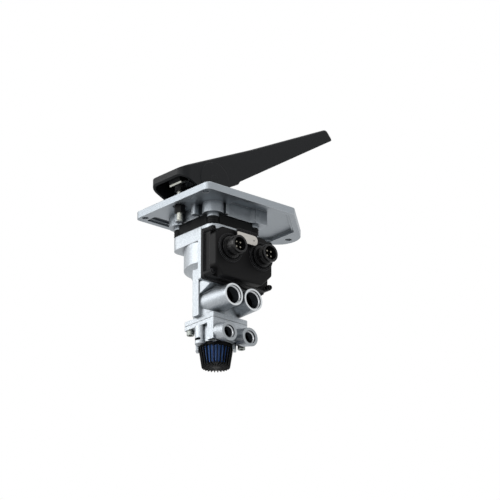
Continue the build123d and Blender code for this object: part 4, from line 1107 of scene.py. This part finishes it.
# Sealing ribs round the sleeve of each plug socket
SOCKET_X, SOCKET_RIB_Y, SOCKET_Z = 26.0, -70.6, -66.0
SOCKET_RIB_RISE = 2.1
for side, sign in SIDES:
    sleeve_ribs = shaped(
        stack_tree,
        turned(rib_section(radius=11.9, rise=0.6, tall=1.1), 64),
        {
            "Pitch": 0.0,
            "Side": 1,
            "Layers": 3,
            "Rise": (0.0, 0.0, SOCKET_RIB_RISE * MM),
            "Material": plug_nylon,
        },
    )
    sleeve_ribs.transform(moved(sign * SOCKET_X, SOCKET_RIB_Y, SOCKET_Z) @ OUT_OF_PORT)
    piece(f"{side}_connector_ribs", outward(sleeve_ribs), plug_nylon)

# The view is from below and from the heel's side, through a long lens
VIEW_AZIMUTH, VIEW_ELEVATION = -40.5, -20.8
VIEW_DISTANCE = 5000.0
VIEW_LENS = 273.6
VALVE_MIDDLE = -16.0
AIM_RIGHT, AIM_DOWN = 44.34, 27.63
view_turn = math.radians(VIEW_AZIMUTH)
view_rise = math.radians(VIEW_ELEVATION)
back = Vector(
    (
        math.sin(view_turn) * math.cos(view_rise),
        -math.cos(view_turn) * math.cos(view_rise),
        math.sin(view_rise),
    )
)
right = Vector((math.cos(view_turn), math.sin(view_turn), 0))
up = back.cross(right)
aim = Vector((0, 0, VALVE_MIDDLE * MM)) + right * AIM_RIGHT * MM - up * AIM_DOWN * MM
camera_data = bpy.data.cameras.new("camera")
camera_data.lens = VIEW_LENS
camera_data.clip_start = 0.1
camera_data.clip_end = 100.0
camera = bpy.data.objects.new("camera", camera_data)
camera.matrix_world = Matrix.LocRotScale(
    aim + back * VIEW_DISTANCE * MM, Matrix((right, up, back)).transposed().to_quaternion(), None
)
bpy.context.scene.collection.objects.link(camera)
bpy.context.scene.camera = camera


def lamp(name, place, size, watts):
    """A soft white square lamp, with its place and size in metres, turned to the origin."""
    data = bpy.data.lights.new(name, "AREA")
    data.size = size
    data.energy = watts
    lamp_object = bpy.data.objects.new(name, data)
    lamp_object.location = place
    lamp_object.rotation_euler = (-Vector(place)).to_track_quat("-Z", "Y").to_euler()
    bpy.context.scene.collection.objects.link(lamp_object)


lamp("key_from_behind_the_heel", (-1.87, 1.1, 0.77), size=1.6, watts=25)
lamp("side_fill", (-2.1, -0.6, 0.3), size=1.4, watts=13)
lamp("top_fill", (0.3, -0.4, 2.2), size=1.6, watts=14)


def backdrop_rays(tree):
    """1 for the rays that show the backdrop: from the camera, mirrored or let through."""
    rays = add_node(tree, "ShaderNodeLightPath").outputs
    shown = rays["Is Camera Ray"]
    for other in ("Is Glossy Ray", "Is Transmission Ray"):
        either = add_node(
            tree, "ShaderNodeMath", {"operation": "MAXIMUM"}, {0: shown, 1: rays[other]}
        )
        shown = either.outputs[0]
    return shown


# A white studio for those rays, and a softer light from all round for the rest
world = bpy.data.worlds.new("studio")
bpy.context.scene.world = world
world.use_nodes = True
tree = world.node_tree
tree.nodes.clear()
white = add_node(tree, "ShaderNodeBackground", {"Color": (1, 1, 1, 1), "Strength": 1.0})
soft_grey = add_node(tree, "ShaderNodeBackground", {"Color": linear("#f4f6f8"), "Strength": 0.6})
mixed = add_node(
    tree,
    "ShaderNodeMixShader",
    links={0: backdrop_rays(tree), 1: soft_grey.outputs[0], 2: white.outputs[0]},
)
add_node(tree, "ShaderNodeOutputWorld", links={"Surface": mixed.outputs[0]})

# A pale floor far below, so that it never comes between a low camera and the module
STUDIO_HALF = 9.0
STUDIO_LOW = -4.5
floor_mesh = bpy.data.meshes.new("studio_floor")
floor_mesh.from_pydata(
    [
        (x * STUDIO_HALF, y * STUDIO_HALF, STUDIO_LOW)
        for x, y in ((-1, -1), (1, -1), (1, 1), (-1, 1))
    ],
    [],
    [(0, 1, 2, 3)],
)
floor = bpy.data.objects.new("studio_floor", floor_mesh)
bpy.context.scene.collection.objects.link(floor)
floor_paint = bpy.data.materials.new("studio_floor_paint")
floor_paint.use_nodes = True
tree = floor_paint.node_tree
tree.nodes.clear()
paint = add_node(tree, "ShaderNodeBsdfDiffuse", {"Color": linear("#eeeeee")})
glow = add_node(tree, "ShaderNodeEmission", {"Color": (1, 1, 1, 1), "Strength": 1.0})
mixed = add_node(
    tree,
    "ShaderNodeMixShader",
    links={0: backdrop_rays(tree), 1: paint.outputs[0], 2: glow.outputs[0]},
)
add_node(tree, "ShaderNodeOutputMaterial", links={"Surface": mixed.outputs[0]})
floor_mesh.materials.append(floor_paint)

bpy.context.scene.view_settings.view_transform = "Standard"
